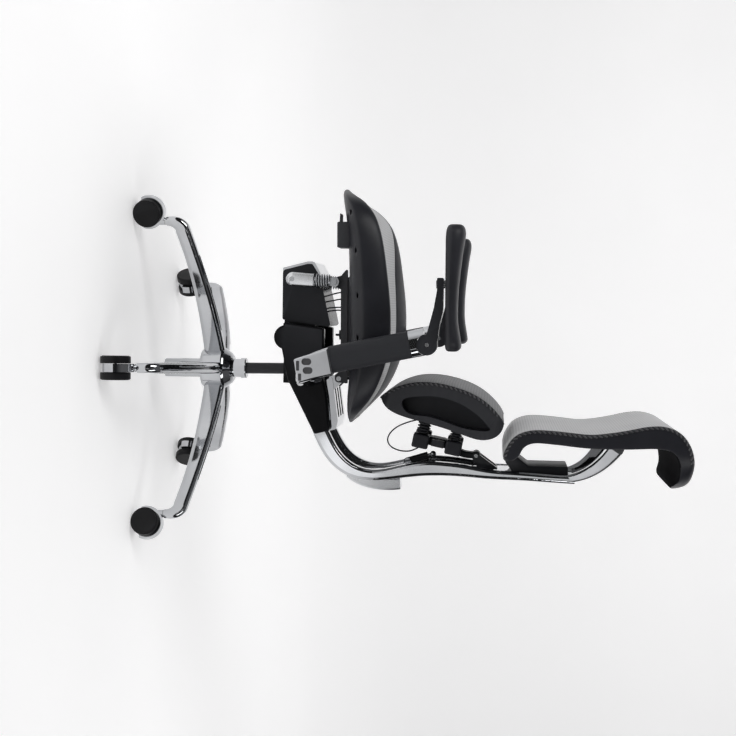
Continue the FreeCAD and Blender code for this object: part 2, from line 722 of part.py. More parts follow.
strut_line = strut_eye - strut_pin
strut_heading = Vector(strut_line).normalize()
strut_length = strut_line.Length


def on_strut(distance):
    """Point on the left strut's middle line, so far above its lower pin."""
    return Vector(N.strut_offset, 0, 0) + strut_pin + strut_heading * distance


def barrel_shape():
    body = round_bar(on_strut(0), on_strut(N.strut_barrel_length), N.strut_barrel_radius)
    body = body.fuse(Part.makeSphere(N.strut_barrel_radius, on_strut(0))).removeSplitter()
    bore = round_bar(on_strut(14), on_strut(N.strut_barrel_length + OVERRUN), N.strut_rod_radius + N.fit_clearance)
    pin = disc(strut_pin, N.strut_pin_radius + N.fit_clearance, 0, 2 * N.strut_offset)
    return body.cut(bore).cut(pin)


def rod_shape():
    shank = round_bar(on_strut(20), on_strut(strut_length), N.strut_rod_radius)
    start = N.strut_offset - N.strut_eye_width / 2
    eye = disc(strut_eye, N.strut_eye_radius, start, start + N.strut_eye_width)
    flange_spot = strut_length - N.strut_eye_radius
    flange = round_bar(on_strut(flange_spot + 1.5), on_strut(flange_spot + 3), N.spring_radius - 1)
    hole = disc(strut_eye, N.strut_pin_radius + N.fit_clearance, start - OVERRUN, start + 2 * N.strut_eye_width)
    return shank.fuse([eye, flange]).removeSplitter().cut(hole)


def biarc(first, first_way, last, last_way):
    """Two arcs that leave one point and reach another in the given directions."""
    span = last - first
    ways = first_way + last_way
    spread = 2 * (1 - first_way.dot(last_way))
    reach = (-span.dot(ways) + math.sqrt(span.dot(ways) ** 2 + spread * span.dot(span))) / spread
    middle = (first + last + (first_way - last_way) * reach) * 0.5
    arcs = []
    for start, corner, end in ((first, first + first_way * reach, middle),
                               (middle, last - last_way * reach, last)):
        chord = (start + end) * 0.5
        rise = corner - chord
        half = (end - start).Length / 2
        lift = half * math.tan(math.atan2(rise.Length, half) / 2)
        arcs.append(Part.Arc(start, chord + rise.normalize() * lift, end).toShape())
    return arcs


def spring_shape():
    """One unbroken coil about the strut, between the barrel and the eye."""
    low = N.strut_barrel_length + N.spring_wire / 2 + 0.3
    high = strut_length - N.strut_eye_radius - N.spring_wire / 2 + 1.2
    pitch = (high - low) / N.spring_turns
    across = Vector(1, 0, 0)
    behind = strut_heading.cross(across)

    def spot(turn):
        angle = 2 * math.pi * turn
        out = across * math.cos(angle) + behind * math.sin(angle)
        return on_strut(low + pitch * turn) + out * N.spring_radius

    def way(turn):
        angle = 2 * math.pi * turn
        around = behind * math.cos(angle) - across * math.sin(angle)
        return (around * (2 * math.pi * N.spring_radius) + strut_heading * pitch).normalize()

    edges = []
    for quarter in range(4 * N.spring_turns):
        start = quarter / 4
        end = (quarter + 1) / 4
        edges.extend(biarc(spot(start), way(start), spot(end), way(end)))
    section = Part.Wire(Part.Circle(spot(0), way(0), N.spring_wire / 2).toShape())
    coil = Part.Wire(edges).makePipeShell([section], True, False)
    steps = 24
    points = [spot(step / steps) for step in range(steps * N.spring_turns + 1)]
    near = min(points[a].distanceToPoint(points[b])
               for a in range(len(points)) for b in range(a + steps // 2, len(points)))
    print(f"spring: least gap to itself {near - N.spring_wire:.2f}")
    return coil


keep("strut_barrels", feature("StrutBarrels", both_sides(barrel_shape())), lifted=True)
keep("strut_rods", feature("StrutRods", both_sides(rod_shape())), lifted=True)
keep("strut_springs", feature("StrutSprings", both_sides(spring_shape())), lifted=True)
# Seat carrier

carrier_low = N.carrier_top - N.carrier_rail
CARRIER_SIDE = (
    (-213, N.carrier_top, 2), (-197, carrier_low, 14), (0, carrier_low, 2),
    (9, carrier_low - 12, 6), (24, carrier_low - 12, 8), (27, N.carrier_top, 2))


rear_pin_spot = Vector(0, N.rear_pin_set, N.rear_pin_height)


def carrier_shape():
    plate = prism(rounded_outline(CARRIER_SIDE), N.carrier_inside, N.carrier_outside)
    lug = disc(strut_eye, N.strut_eye_radius + 1, N.carrier_inside, N.carrier_outside)
    neck_side = ((-198, carrier_low + 2, 0), (-194, strut_eye.z, 0), (-174, strut_eye.z, 0),
                 (-168, carrier_low + 2, 0))
    neck = prism(rounded_outline(neck_side), N.carrier_inside, N.carrier_outside)
    side = plate.fuse([lug, neck]).removeSplitter()
    side = side.cut(disc(strut_eye, N.strut_pin_radius + N.fit_clearance, 0, 2 * N.carrier_outside))
    side = side.cut(disc(rear_pin_spot, N.rear_pin_radius + N.fit_clearance, 0, 2 * N.carrier_outside))
    deck = Part.makeBox(2 * N.carrier_outside, 105, 5, Vector(-N.carrier_outside, -96, N.carrier_top - 5))
    return side.fuse([mirrored(side), deck]).removeSplitter()


carrier = carrier_shape()
keep("seat_carrier", feature("SeatCarrier", carrier), lifted=True)
front_pin_start = N.carrier_inside - 2
front_pin_end = N.strut_offset + N.strut_eye_width / 2 + 2
front_pin = disc(strut_eye, N.strut_pin_radius, front_pin_start, front_pin_end)
front_pin = front_pin.fuse(disc(strut_eye, N.strut_pin_radius + 1, front_pin_end, front_pin_end + 2))
front_pin = front_pin.removeSplitter()
rear_pin = disc(rear_pin_spot, N.rear_pin_radius, -N.carrier_outside, N.carrier_outside)
seat_pins = Part.makeCompound([front_pin, mirrored(front_pin), rear_pin])
keep("seat_pins", feature("SeatPins", seat_pins), lifted=True)
bumper_spot = Vector(56, -74, N.carrier_top - 5)
bumper = Part.makeCylinder(N.bumper_radius, 14, bumper_spot, -UPWARD)
bumper = bumper.fuse(Part.makeCylinder(N.bumper_radius / 4, 22, bumper_spot, -UPWARD)).removeSplitter()
keep("seat_bumpers", feature("SeatBumpers", both_sides(bumper)), lifted=True)

# Control cables, from the chassis up into the open underside of the seat
CABLE_SPOTS = (
    ((-152, 70), (-158, 88), (-163, 107), (-164, 125), (-161, 142)),
    ((-142, 72), (-145, 90), (-149, 108), (-149, 126), (-145, 142)),
    ((-129, 75), (-131, 92), (-132, 109), (-130, 126), (-125, 142)),
    ((-122, 77), (-125, 93), (-126, 110), (-123, 126), (-117, 142)),
)
cable_x = 40
cables = []
for number, route in enumerate(CABLE_SPOTS, start=1):
    points = [Vector(cable_x, y, z) for y, z in route]
    cable = tube_along(points, N.cable_diameter, f"control cable {number}").cut(chassis)
    cables.append(max(cable.Solids, key=lambda solid: solid.Volume))
keep("control_cables", feature("ControlCables", Part.makeCompound(cables)), lifted=True)

# Seat: (y, half width share, underside, rim height, inner lip share, inner lip drop)
seat_bottom = N.carrier_top + N.seat_gap
SEAT_SPOTS = (
    (-372, 0.42, 122, 131, 0.80, 0.5),
    (-360, 0.67, 125, 147, 0.82, 1),
    (-342, 0.83, 129, 174, 0.84, 2),
    (-312, 0.925, 135, 198, 0.86, 3),
    (-268, 0.97, 140, 213, 0.80, 9),
    (-205, 0.99, 142.5, 223, 0.70, 16),
    (-125, 1.00, 143, 231, 0.64, 20),
    (-55, 0.99, 143, 229, 0.64, 20),
    (5, 0.965, 142, 212, 0.66, 17),
    (50, 0.906, 138, 189, 0.70, 13),
    (82, 0.79, 137, 161, 0.76, 6),
    (104, 0.45, 135, 140, 0.80, 1),
)


def seat_ring(y, share, under, rim, inner):
    """Section of the seat across X: flat underside, flared side with a crease, sloping rim."""
    half = N.seat_half_width * share
    crease = under + 0.35 * (rim - under)
    right = [(0.80 * half, under), (half, crease), (0.93 * half, rim), (inner * half, rim)]
    left = [(-x, z) for x, z in reversed(right)]
    points = [Vector(x, y, z) for x, z in right + left]
    return Part.makePolygon(points + points[:1])


def seat_hollow_ring(y, share, under, rim, inner, lip):
    """Section of the space inside the shell, below and between the sloping rims."""
    half = N.seat_half_width * share
    floor = min(under + N.seat_floor, rim - lip - 0.2)
    top = rim + OVERRUN
    points = [(inner * half, floor), (inner * half, rim - lip), (0.93 * half, rim), (0.93 * half, top)]
    points += [(-x, z) for x, z in reversed(points)]
    points = [Vector(x, y, z) for x, z in points]
    return Part.makePolygon(points + points[:1])


def seat_shell_shape():
    outer = Part.makeLoft([seat_ring(*spot[:5]) for spot in SEAT_SPOTS], True, False)
    hollow = Part.makeLoft([seat_hollow_ring(*spot) for spot in SEAT_SPOTS[1:-1]], True, False)
    shell = outer.cut(hollow)
    width = 2 * N.cable_opening_half_width
    length = N.cable_opening_front - N.cable_opening_rear
    opening = Part.makeBox(width, length, 60, Vector(-width / 2, -N.cable_opening_front, 110))
    runner = Part.makeBox(16, 190, 143 - seat_bottom + 4, Vector(60, -190, seat_bottom))
    whole = shell.cut(opening).fuse([runner, mirrored(runner)]).removeSplitter()
    return max(whole.Solids, key=lambda solid: solid.Volume)


def mesh_sheet(spots, sag):
    """Thin crowned sheet between the inner lips of the seat's rims."""
    rings = []
    for y, share, under, rim, inner, lip in spots:
        half = N.seat_half_width * share * inner
        edge = rim - lip
        dip = edge - sag * min(1, lip / 10)
        upper = Part.Arc(Vector(-half, y, edge), Vector(0, y, dip), Vector(half, y, edge)).toShape()
        drop = Vector(0, 0, -N.mesh_thickness)
        lower = Part.Arc(Vector(half, y, edge) + drop, Vector(0, y, dip) + drop,
                         Vector(-half, y, edge) + drop).toShape()
        walls = [Part.LineSegment(Vector(half, y, edge), Vector(half, y, edge) + drop).toShape(),
                 Part.LineSegment(Vector(-half, y, edge) + drop, Vector(-half, y, edge)).toShape()]
        rings.append(Part.Wire([upper, walls[0], lower, walls[1]]))
    return Part.makeLoft(rings, True, False)


seat_shell = seat_shell_shape()
keep("seat_shell", feature("SeatShell", seat_shell), lifted=True)
seat_mesh = mesh_sheet(SEAT_SPOTS[3:-2], 8).cut(seat_shell)
seat_mesh = max(seat_mesh.Solids, key=lambda solid: solid.Volume)
keep("seat_mesh", feature("SeatMesh", seat_mesh), lifted=True)

box_corner = Vector(N.seat_half_width - N.control_box_inset, -301, 139 - N.control_box_height)
control_box = Part.makeBox(N.control_box_width, N.control_box_length, N.control_box_height + 8, box_corner)
control_box = control_box.makeFillet(3, [edge for edge in control_box.Edges
                                         if edge.BoundBox.ZMax < box_corner.z + 1])
control_box = control_box.cut(seat_shell)
control_box = max(control_box.Solids, key=lambda solid: solid.Volume)
lever_hinge = Vector(0, box_corner.y + 5, box_corner.z + 5.5)
lever_slot = Part.makeBox(N.lever_width + 2, 16, 9, Vector(box_corner.x + 9, box_corner.y - 2, lever_hinge.z - 4))
control_box = control_box.cut(lever_slot)
keep("control_box", feature("ControlBox", control_box), lifted=True)
lever_start = box_corner.x + 10
lever = disc(lever_hinge, 3.5, lever_start, lever_start + N.lever_width)
paddle_side = ((-318, lever_hinge.z - 1, 0.8), (-296, lever_hinge.z - 2, 0.8), (-296, lever_hinge.z + 1.5, 0.8),
               (-318, lever_hinge.z + 1.5, 0.8))
lever = lever.fuse(prism(rounded_outline(paddle_side), lever_start, lever_start + N.lever_width))
keep("seat_lever", feature("SeatLever", lever.removeSplitter()), lifted=True)

# Arms, drawn on the left and mirrored

lean = math.radians(N.arm_lean)
sleeve_way = Vector(0, -math.sin(lean), math.cos(lean))
sleeve_foot = Vector(arm_offset, -N.sleeve_foot_setback, N.sleeve_foot_height)


def on_sleeve(distance):
    return sleeve_foot + sleeve_way * distance


def oval_bar(start, end, depth, width):
    """Bar of rounded section along the sleeve's line."""
    along = SIDEWAYS.cross(sleeve_way)
    wires = [ring(on_sleeve(spot), SIDEWAYS, along, width, depth, width / 2) for spot in (start, end)]
    return Part.makeLoft(wires, True, True)


def bracket_shape():
    """Arm that leaves the side cover, turns up and carries the sleeve."""
    start = N.cover_outside
    reach = arm_offset - start
    stations = [
        (start, 2, 60, 54, 34, 10),
        (start + 0.35 * reach, 0, 54, 50, 26, 9),
        (start + 0.68 * reach, -4, 54, 49, 24, 9),
        (arm_offset - 14, -11, 68, 49, 26, 10),
        (arm_offset - 2, -21, 92, 50, 30, 12),
        (*sleeve_foot, N.sleeve_depth - 2, N.sleeve_width - 4, 16),
    ]
    return bar(stations, Vector(0, 1, 0), (SIDEWAYS, sleeve_way))


bracket = bracket_shape()
keep("arm_brackets", feature("ArmBrackets", both_sides(bracket)), lifted=True)
bore_depth = N.sleeve_depth - 2 * N.sleeve_wall
bore_width = N.sleeve_width - 2 * N.sleeve_wall
sleeve = oval_bar(0, N.sleeve_length, N.sleeve_depth, N.sleeve_width)
sleeve = sleeve.cut(oval_bar(N.sleeve_wall, N.sleeve_length + OVERRUN, bore_depth, bore_width))
keep("arm_sleeves", feature("ArmSleeves", both_sides(sleeve)), lifted=True)

swing_spot = on_sleeve(N.sleeve_length + N.swing_pivot_height) - FORWARD * N.swing_pivot_set
spindle_spot = Vector(arm_offset, -N.spindle_setback, N.spindle_base)


def arm_disc(radius, near, far, center=None):
    """Round plate about the swing arm's axis, between two distances from the sleeve's middle."""
    return disc(center or swing_spot, radius, arm_offset + near, arm_offset + far)


def post_shape():
    room = 2 * N.fit_clearance
    shaft = oval_bar(N.sleeve_length - N.post_depth, N.sleeve_length + 2, bore_depth - room, bore_width - room)
    head = oval_bar(N.sleeve_length + 0.5, N.sleeve_length + N.post_head, N.sleeve_depth, N.sleeve_width)
    head = head.cut(arm_disc(N.swing_disc_radius + 1, -N.sleeve_width, N.sleeve_width))
    tongue = N.tongue_half_width
    neck_ring = [(-9, -24), (-9, 0), (9, 0), (9, -24)]
    neck_side = [(swing_spot.y + y, swing_spot.z + z, 0) for y, z in neck_ring]
    neck = prism(rounded_outline(neck_side), arm_offset - tongue, arm_offset + tongue)
    eye = arm_disc(9, -tongue, tongue)
    post = shaft.fuse([head, neck, eye]).removeSplitter()
    return post.cut(arm_disc(N.swing_pin_radius + N.fit_clearance, -N.sleeve_width, N.sleeve_width))


def swing_shape():
    half = N.swing_half_width
    y, z = swing_spot.y, swing_spot.z
    tip = spindle_spot.y
    side = ((tip - 12, 323, 2), (-165, 323, 20), (-131, 317, 60), (y - 19, z - 1, 4), (y, z - 1, 0),
            (y, z + 19.5, 0), (-98, 328, 30), (-126, 335, 40), (tip - 12, 336, 3))
    beam = prism(rounded_outline(side), arm_offset - half, arm_offset + half)
    whole = beam.fuse(arm_disc(N.swing_disc_radius, -half, half)).removeSplitter()
    slot = N.tongue_half_width + N.tongue_gap
    whole = whole.cut(arm_disc(N.swing_disc_radius + 6, -slot, slot))
    whole = whole.cut(arm_disc(N.swing_pin_radius + N.fit_clearance, -half - OVERRUN, half + OVERRUN))
    return whole.cut(Part.makeCylinder(N.spindle_radius + N.fit_clearance, 40, spindle_spot - UPWARD * 10))


def spindle_shape():
    spindle = Part.makeCylinder(N.spindle_radius, N.spindle_height, spindle_spot)
    top = spindle_spot + UPWARD * N.spindle_height
    pin = Part.makeCylinder(N.spindle_pin_radius, N.spindle_pin_length, top)
    return spindle.fuse(pin).removeSplitter()


# Arm pad: (y, width share, underside, top)
PAD_SPOTS = (
    (-291, 0.45, 349, 367),
    (-287, 0.72, 343, 374),
    (-272, 0.95, 339.5, 377.5),
    (-235, 1.00, 339, 372),
    (-170, 0.94, 338.6, 364.5),
    (-110, 0.92, 338.6, 363),
    (-75, 0.97, 338, 368),
    (-58, 0.85, 338, 370),
    (-51, 0.62, 341, 366),
    (-48, 0.40, 346, 361),
)


def pad_shape():
    rings = []
    for y, share, under, top in PAD_SPOTS:
        middle = Vector(arm_offset, y, (under + top) / 2)
        rings.append(ring(middle, SIDEWAYS, UPWARD, N.pad_width * share, top - under, 0.42 * (top - under)))
    pad = Part.makeLoft(rings, True, False)
    floor = spindle_spot.z + N.spindle_height + N.pad_gap
    pad = pad.cut(Part.makeBox(200, 400, 60, Vector(arm_offset - 100, -400, floor - 60)))
    hole = Part.makeCylinder(N.spindle_pin_radius + N.fit_clearance, N.spindle_pin_length + 1,
                             spindle_spot + UPWARD * N.spindle_height)
    return pad.cut(hole)


swing_pin = arm_disc(N.swing_pin_radius, -N.swing_half_width, N.swing_half_width)
arm_pins = Part.makeCompound([swing_pin, spindle_shape()])
arm_pieces = {"arm_post": post_shape(), "swing_arm": swing_shape(), "arm_pins": arm_pins, "arm_pad": pad_shape()}
for label, shape in arm_pieces.items():
    name = label.title().replace("_", "")
    keep(f"{label}_left", feature(name + "Left", shape), lifted=True)
    keep(f"{label}_right", feature(name + "Right", mirrored(shape)), lifted=True)

# Spine: (y, z, depth) along a rail, from the tilt mechanism up to its fork
RAIL_SPOTS = (
    (120, 67, 31), (150, 81, 32), (178, 98, 31), (199, 119, 29), (213, 145, 26), (219, 180, 23),
    (212, 235, 26), (204, 288, 30), (204, 330, 28), (207, 372, 25), (213, 422, 20), (216, 482, 18),
    (220, 552, 17), (222, 600, 18))


def curve_edge(spots):
    """Smooth curve through (y, z) points."""
    curve = Part.BSplineCurve()
    curve.interpolate([Vector(0, y, z) for y, z in spots])
    return curve.toShape()


def side_line(y, z):
    return Vector(0, y, z)


def strip(spots, start, end):
    """Solid strip between two X planes along (y, z, depth) points."""
    lines = ([], [])
    last = len(spots) - 1
    for index, (y, z, depth) in enumerate(spots):
        ahead = spots[min(index + 1, last)]
        behind = spots[max(index - 1, 0)]
        way = Vector(0, ahead[0] - behind[0], ahead[1] - behind[1]).normalize()
        for line, sign in zip(lines, (1, -1)):
            line.append((y + sign * way.z * depth / 2, z - sign * way.y * depth / 2))
    outer, inner = lines
    inner.reverse()
    top = Part.LineSegment(side_line(*outer[-1]), side_line(*inner[0])).toShape()
    foot = Part.LineSegment(side_line(*inner[-1]), side_line(*outer[0])).toShape()
    return prism(Part.Wire([curve_edge(outer), top, curve_edge(inner), foot]), start, end)


def fork_stations():
    """Upper arm on a smooth bend from the rail's top out to the frame's side."""
    low = Vector(N.rail_middle, 221, 578)
    bend = Vector(N.rail_middle + 6, 216, 640)
    tip = Vector(N.upper_arm_spread, 147, 679)
    stations = []
    for number in range(7):
        share = number / 6
        spot = low * (1 - share) ** 2 + bend * (2 * share * (1 - share)) + tip * share ** 2
        stations.append((*spot, N.rail_width - 4, 15 + 15 * share, 7))
    return stations


def rear_lug():
    """Slotted ear that holds the seat's rear pin and lets it shift a little along the slot."""
    start, end = N.lower_arm_inside - 2, N.lower_arm_outside - 2
    ear = disc(rear_pin_spot, N.rear_pin_radius + 6, start, end)
    y, z = rear_pin_spot.y, rear_pin_spot.z
    neck_side = ((y - 9, z - 5, 0), (y - 3, z - 22, 0), (y + 30, z - 18, 0), (y + 9, z + 4, 0))
    ear = ear.fuse(prism(rounded_outline(neck_side), start, end)).removeSplitter()
    reach = N.rear_pin_radius + N.rear_slot_room
    for shift in (-N.rear_slot_room, 0, N.rear_slot_room):
        spot = rear_pin_spot + Vector(0, shift, 0)
        ear = ear.cut(disc(spot, reach, start - OVERRUN, end + OVERRUN))
    return ear


def strut_clevis():
    """Two cheeks on the web with the lumbar strut's lower pin between them."""
    y, z = strut_foot.y, strut_foot.z
    side = ((y - 7, z - 3, 5), (y + 12, z - 14, 0), (y + 16, z - 14, 0), (y + 16, z + 14, 0), (y - 7, z + 6, 5))
    cheek = prism(rounded_outline(side), N.strut_foot_half_width + 0.4, N.strut_foot_half_width + 5)
    pin = disc(strut_foot, 3, -N.strut_foot_half_width - 3, N.strut_foot_half_width + 3)
    return pin.fuse([cheek, mirrored(cheek)]).removeSplitter()


strut_foot = Vector(0, N.strut_foot_set, N.strut_foot_height)


def spine_shape():
    half = N.rail_width / 2
    rail = strip(RAIL_SPOTS, N.rail_middle - half, N.rail_middle + half)
    long_edges = [edge for edge in rail.Edges if edge.BoundBox.XLength < 0.01 and edge.Length > 200]
    rail = rail.makeFillet(7, long_edges)
    web_spots = [(y + depth / 2 - N.web_thickness - 5, z, N.web_thickness) for y, z, depth in RAIL_SPOTS]
    web = strip(web_spots[3:-1], -N.rail_middle, N.rail_middle)
    floor_spots = [(y, z, N.web_thickness) for y, z, depth in RAIL_SPOTS[:4]]
    floor_web = strip(floor_spots, -N.rail_middle, N.rail_middle)
    upper_arm = bar(fork_stations(), SIDEWAYS)
    lower_side = prism(rounded_outline(LOWER_ARM_SIDE), N.lower_arm_inside, N.lower_arm_outside)
    eye = disc(tilt_spot, N.lower_arm_eye_radius, N.lower_arm_inside, N.lower_arm_outside)
    left = rail.fuse([upper_arm, lower_side, eye])
    plate = prism(rounded_outline(TOP_PLATE), -N.lower_arm_outside, N.lower_arm_outside)
    for x in (-38, 0, 38):
        slot = Part.makeBox(20, 60, 40, Vector(x - 10, 40, 75))
        plate = plate.cut(slot)
    lug = rear_lug()
    clevis = strut_clevis()
    pieces = [mirrored(left), web, floor_web, plate, lug, mirrored(lug), clevis]
    whole = left.fuse(pieces).removeSplitter()
    return whole.cut(disc(tilt_spot, N.tilt_shaft_radius + N.fit_clearance, -N.cover_outside, N.cover_outside))


spine = spine_shape()

# Upper back: front line from the lower curl to the rolled top, then back along the inside
BACK_FRONT = ((166, 452), (146, 458), (122, 476), (110, 508), (111, 555), (117, 612), (116, 645), (109, 690),
              (100, 735), (100, 768), (112, 797), (136, 816), (166, 824), (194, 816), (214, 798))
BACK_INSIDE = ((197, 762), (185, 775), (165, 785), (148, 778), (143, 752), (145, 690), (144, 620), (138, 560),
               (135, 515), (143, 494), (160, 484))


def back_profile():
    front = curve_edge(BACK_FRONT)
    inside = curve_edge(BACK_INSIDE)
    tip = Part.LineSegment(Vector(0, *BACK_FRONT[-1]), Vector(0, *BACK_INSIDE[0])).toShape()
    heel = Part.LineSegment(Vector(0, *BACK_INSIDE[-1]), Vector(0, *BACK_FRONT[0])).toShape()
    return Part.Wire([front, tip, inside, heel])


def front_block(half_width, bottom, top, corner, depth=200):
    """Rounded rectangle seen from the front, from well ahead of the frame to a depth."""
    middle = Vector(0, 60, (bottom + top) / 2)
    wire = ring(middle, SIDEWAYS, UPWARD, 2 * half_width, top - bottom, corner)
    return Part.Face(wire).extrude(Vector(0, depth, 0))


def back_sheet(ahead, half_width, corner):
    """Sheet across the frame's front, reaching ahead of its front line and behind it by the mesh."""
    line = BACK_FRONT[1:12]
    last = len(line) - 1
    spots = []
    for index, (y, z) in enumerate(line):
        after = line[min(index + 1, last)]
        before = line[max(index - 1, 0)]
        way = Vector(0, after[0] - before[0], after[1] - before[1]).normalize()
        shift = (N.mesh_thickness - ahead) / 2
        spots.append((y + way.z * shift, z - way.y * shift, N.mesh_thickness + ahead))
    sheet_solid = strip(spots, -half_width, half_width)
    return sheet_solid.common(front_block(half_width, 444, 822, corner))


def roll_corner():
    """Space outside the roll's rounded end, seen from above, on the left."""
    foot = 745
    height = 100
    front = 148
    rear = front + N.roll_corner_depth
    inside = N.back_half_width - N.roll_corner_width
    curve = Part.Ellipse(Vector(inside, front, foot), N.roll_corner_width, N.roll_corner_depth)
    arc = Part.ArcOfEllipse(curve, 0, math.pi / 2).toShape()
    outside = N.back_half_width + OVERRUN
    beyond = rear + 40
    corners = (Vector(inside, rear, foot), Vector(inside, beyond, foot), Vector(outside, beyond, foot),
               Vector(outside, front, foot), Vector(N.back_half_width, front, foot))
    outline = Part.Wire([arc] + Part.makePolygon(corners).Edges)
    return Part.Face(outline).extrude(Vector(0, 0, height))


def back_frame_shape():
    body = prism(back_profile(), -N.back_half_width, N.back_half_width)
    ends = [edge for edge in body.Edges if edge.BoundBox.XLength < 0.1]
    body = body.makeFillet(N.back_edge_round, ends)
    body = body.cut(both_sides(roll_corner()))
    window = front_block(N.back_half_width - N.back_rail_width, 492, 782, N.window_corner, N.window_depth)
    body = body.cut(window)
    body = body.cut(back_sheet(12, N.back_half_width - N.back_lip, N.back_corner - N.back_lip))
    foot_side = ((150, 462, 0), (166, 452, 8), (200, 466, 10), (216, 490, 6), (214, 587, 0), (196, 587, 4),
                 (196, 500, 12), (180, 484, 8), (150, 486, 0))
    foot = prism(rounded_outline(foot_side), -N.foot_half_width, N.foot_half_width)
    return body.fuse(foot).removeSplitter()


back_mesh = back_sheet(0, N.back_half_width - N.back_lip, N.back_corner - N.back_lip)
back_frame = back_frame_shape().cut(spine)
back_frame = max(back_frame.Solids, key=lambda solid: solid.Volume)
spine = spine.cut(back_frame)
spine = max(spine.Solids, key=lambda solid: solid.Volume)
keep("back_spine", feature("BackSpine", spine), lifted=True)
cover = cover_shape().cut(spine)
cover = max(cover.Solids, key=lambda solid: solid.Volume)
keep("mech_covers", feature("Covers", both_sides(cover)), lifted=True)
keep("back_frame", feature("BackFrame", back_frame), lifted=True)


keep("back_mesh", feature("BackMesh", back_mesh), lifted=True)

TAIL_SPOTS = ((226, 122, 6), (236, 148, 18), (242, 180, 24), (243, 215, 26), (242, 236, 24))
tail = bar([(0, y, z, 56, depth, 4) for y, z, depth in TAIL_SPOTS], SIDEWAYS).cut(spine)
tail = max(tail.Solids, key=lambda solid: solid.Volume)
for slot_z in (216, 226):
    tail = tail.cut(Part.makeBox(40, 12, 4, Vector(-20, 240, slot_z)))
keep("tail_bracket", feature("TailBracket", tail), lifted=True)

# Lumbar support, drawn upright about its own middle and then leaned back

LUMBAR_TOP = 124
LUMBAR_FOOT = -131
LUMBAR_OUTLINE = 2 * abs(LUMBAR_FOOT) + 4
LUMBAR_REAR = ((0, LUMBAR_FOOT), (20, -112), (29, -80), (32, -40), (36, 15), (42, 60), (42, 90), (28, 116),
               (0, LUMBAR_TOP))
LUMBAR_FRONT = ((0, LUMBAR_TOP), (-16, 108), (-34, 80), (-46, 45), (-51, 0), (-49, -40), (-40, -76), (-22, -108),
                (0, LUMBAR_FOOT))
LUMBAR_POCKET = ((16, 98), (-8, 63), (-22, 20), (-24, -22), (-17, -55), (2, -86), (17, -76), (20, -38), (24, 20),
                 (26, 72))
lumbar_middle = Vector(0, N.lumbar_set, N.lumbar_height)


def leaned(shape):
    copy = shape.copy()
    copy.rotate(Vector(), SIDEWAYS, -N.lumbar_lean)
    copy.translate(lumbar_middle)
    return copy


def lumbar_point(x, y, z):
    turn = Rotation(SIDEWAYS, -N.lumbar_lean)
    return lumbar_middle + turn.multVec(Vector(x, y, z))


def lumbar_block(front, rear):
    """Solid between a front and a rear line, rounded as seen from the front."""
    wire = Part.Wire([curve_edge(front), curve_edge(rear)])
    block = prism(wire, -N.lumbar_half_width, N.lumbar_half_width)
    outline = ring(Vector(0, -100, 0), SIDEWAYS, UPWARD, 2 * N.lumbar_half_width, LUMBAR_OUTLINE, N.lumbar_corner)
    return block.common(Part.Face(outline).extrude(Vector(0, 200, 0)))


lumbar_shell = lumbar_block(LUMBAR_FRONT, LUMBAR_REAR)
mesh_front = []
for y, z in reversed(LUMBAR_FRONT):
    end = LUMBAR_TOP if z > 0 else LUMBAR_FOOT
    mesh_front.append((y - N.lumbar_mesh_depth * (1 - (z / end) ** 2), z))
lumbar_mesh = lumbar_block(mesh_front, LUMBAR_FRONT)
pocket_curve = Part.BSplineCurve()
pocket_curve.interpolate([Vector(0, y, z) for y, z in LUMBAR_POCKET], True)
pocket = prism(Part.Wire(pocket_curve.toShape()), N.lumbar_half_width - N.lumbar_pocket, N.lumbar_half_width + 5)
lumbar_shell = lumbar_shell.cut(pocket).cut(mirrored(pocket))
keep("lumbar_shell", feature("LumbarShell", leaned(lumbar_shell)), lifted=True)
keep("lumbar_mesh", feature("LumbarMesh", leaned(lumbar_mesh)), lifted=True)

post_end = N.bellows_end
# Height of each row of posts and the start of a post just behind the shell
BELLOWS_ROWS = ((-36, 33.7), (34, 41))


def bellows_shape(x, z, start):
    """Ribbed rubber post along Y."""
    step = (post_end - start) / N.bellows_ribs
    root = N.bellows_radius - 4
    profile = [Vector(x, start, z), Vector(x + root, start, z)]
    for rib in range(N.bellows_ribs):
        low = start + rib * step
        profile.append(Vector(x + N.bellows_radius, low + step / 2, z))
        profile.append(Vector(x + root, low + step, z))
    profile.append(Vector(x, post_end, z))
    face = Part.Face(Part.makePolygon(profile + profile[:1]))
    return face.revolve(Vector(x, 0, z), Vector(0, 1, 0), 360)


bellows = []
for x in (-N.bellows_offset, N.bellows_offset):
    for z, start in BELLOWS_ROWS:
        bellows.append(leaned(bellows_shape(x, z, start)))
keep("lumbar_bellows", feature("LumbarBellows", Part.makeCompound(bellows)), lifted=True)

lumbar_pin = Vector(0, N.lumbar_pin_set, N.lumbar_pin_height)
lumbar_joint = lumbar_point(0, 108, -6)
HANGER_HALF = 16


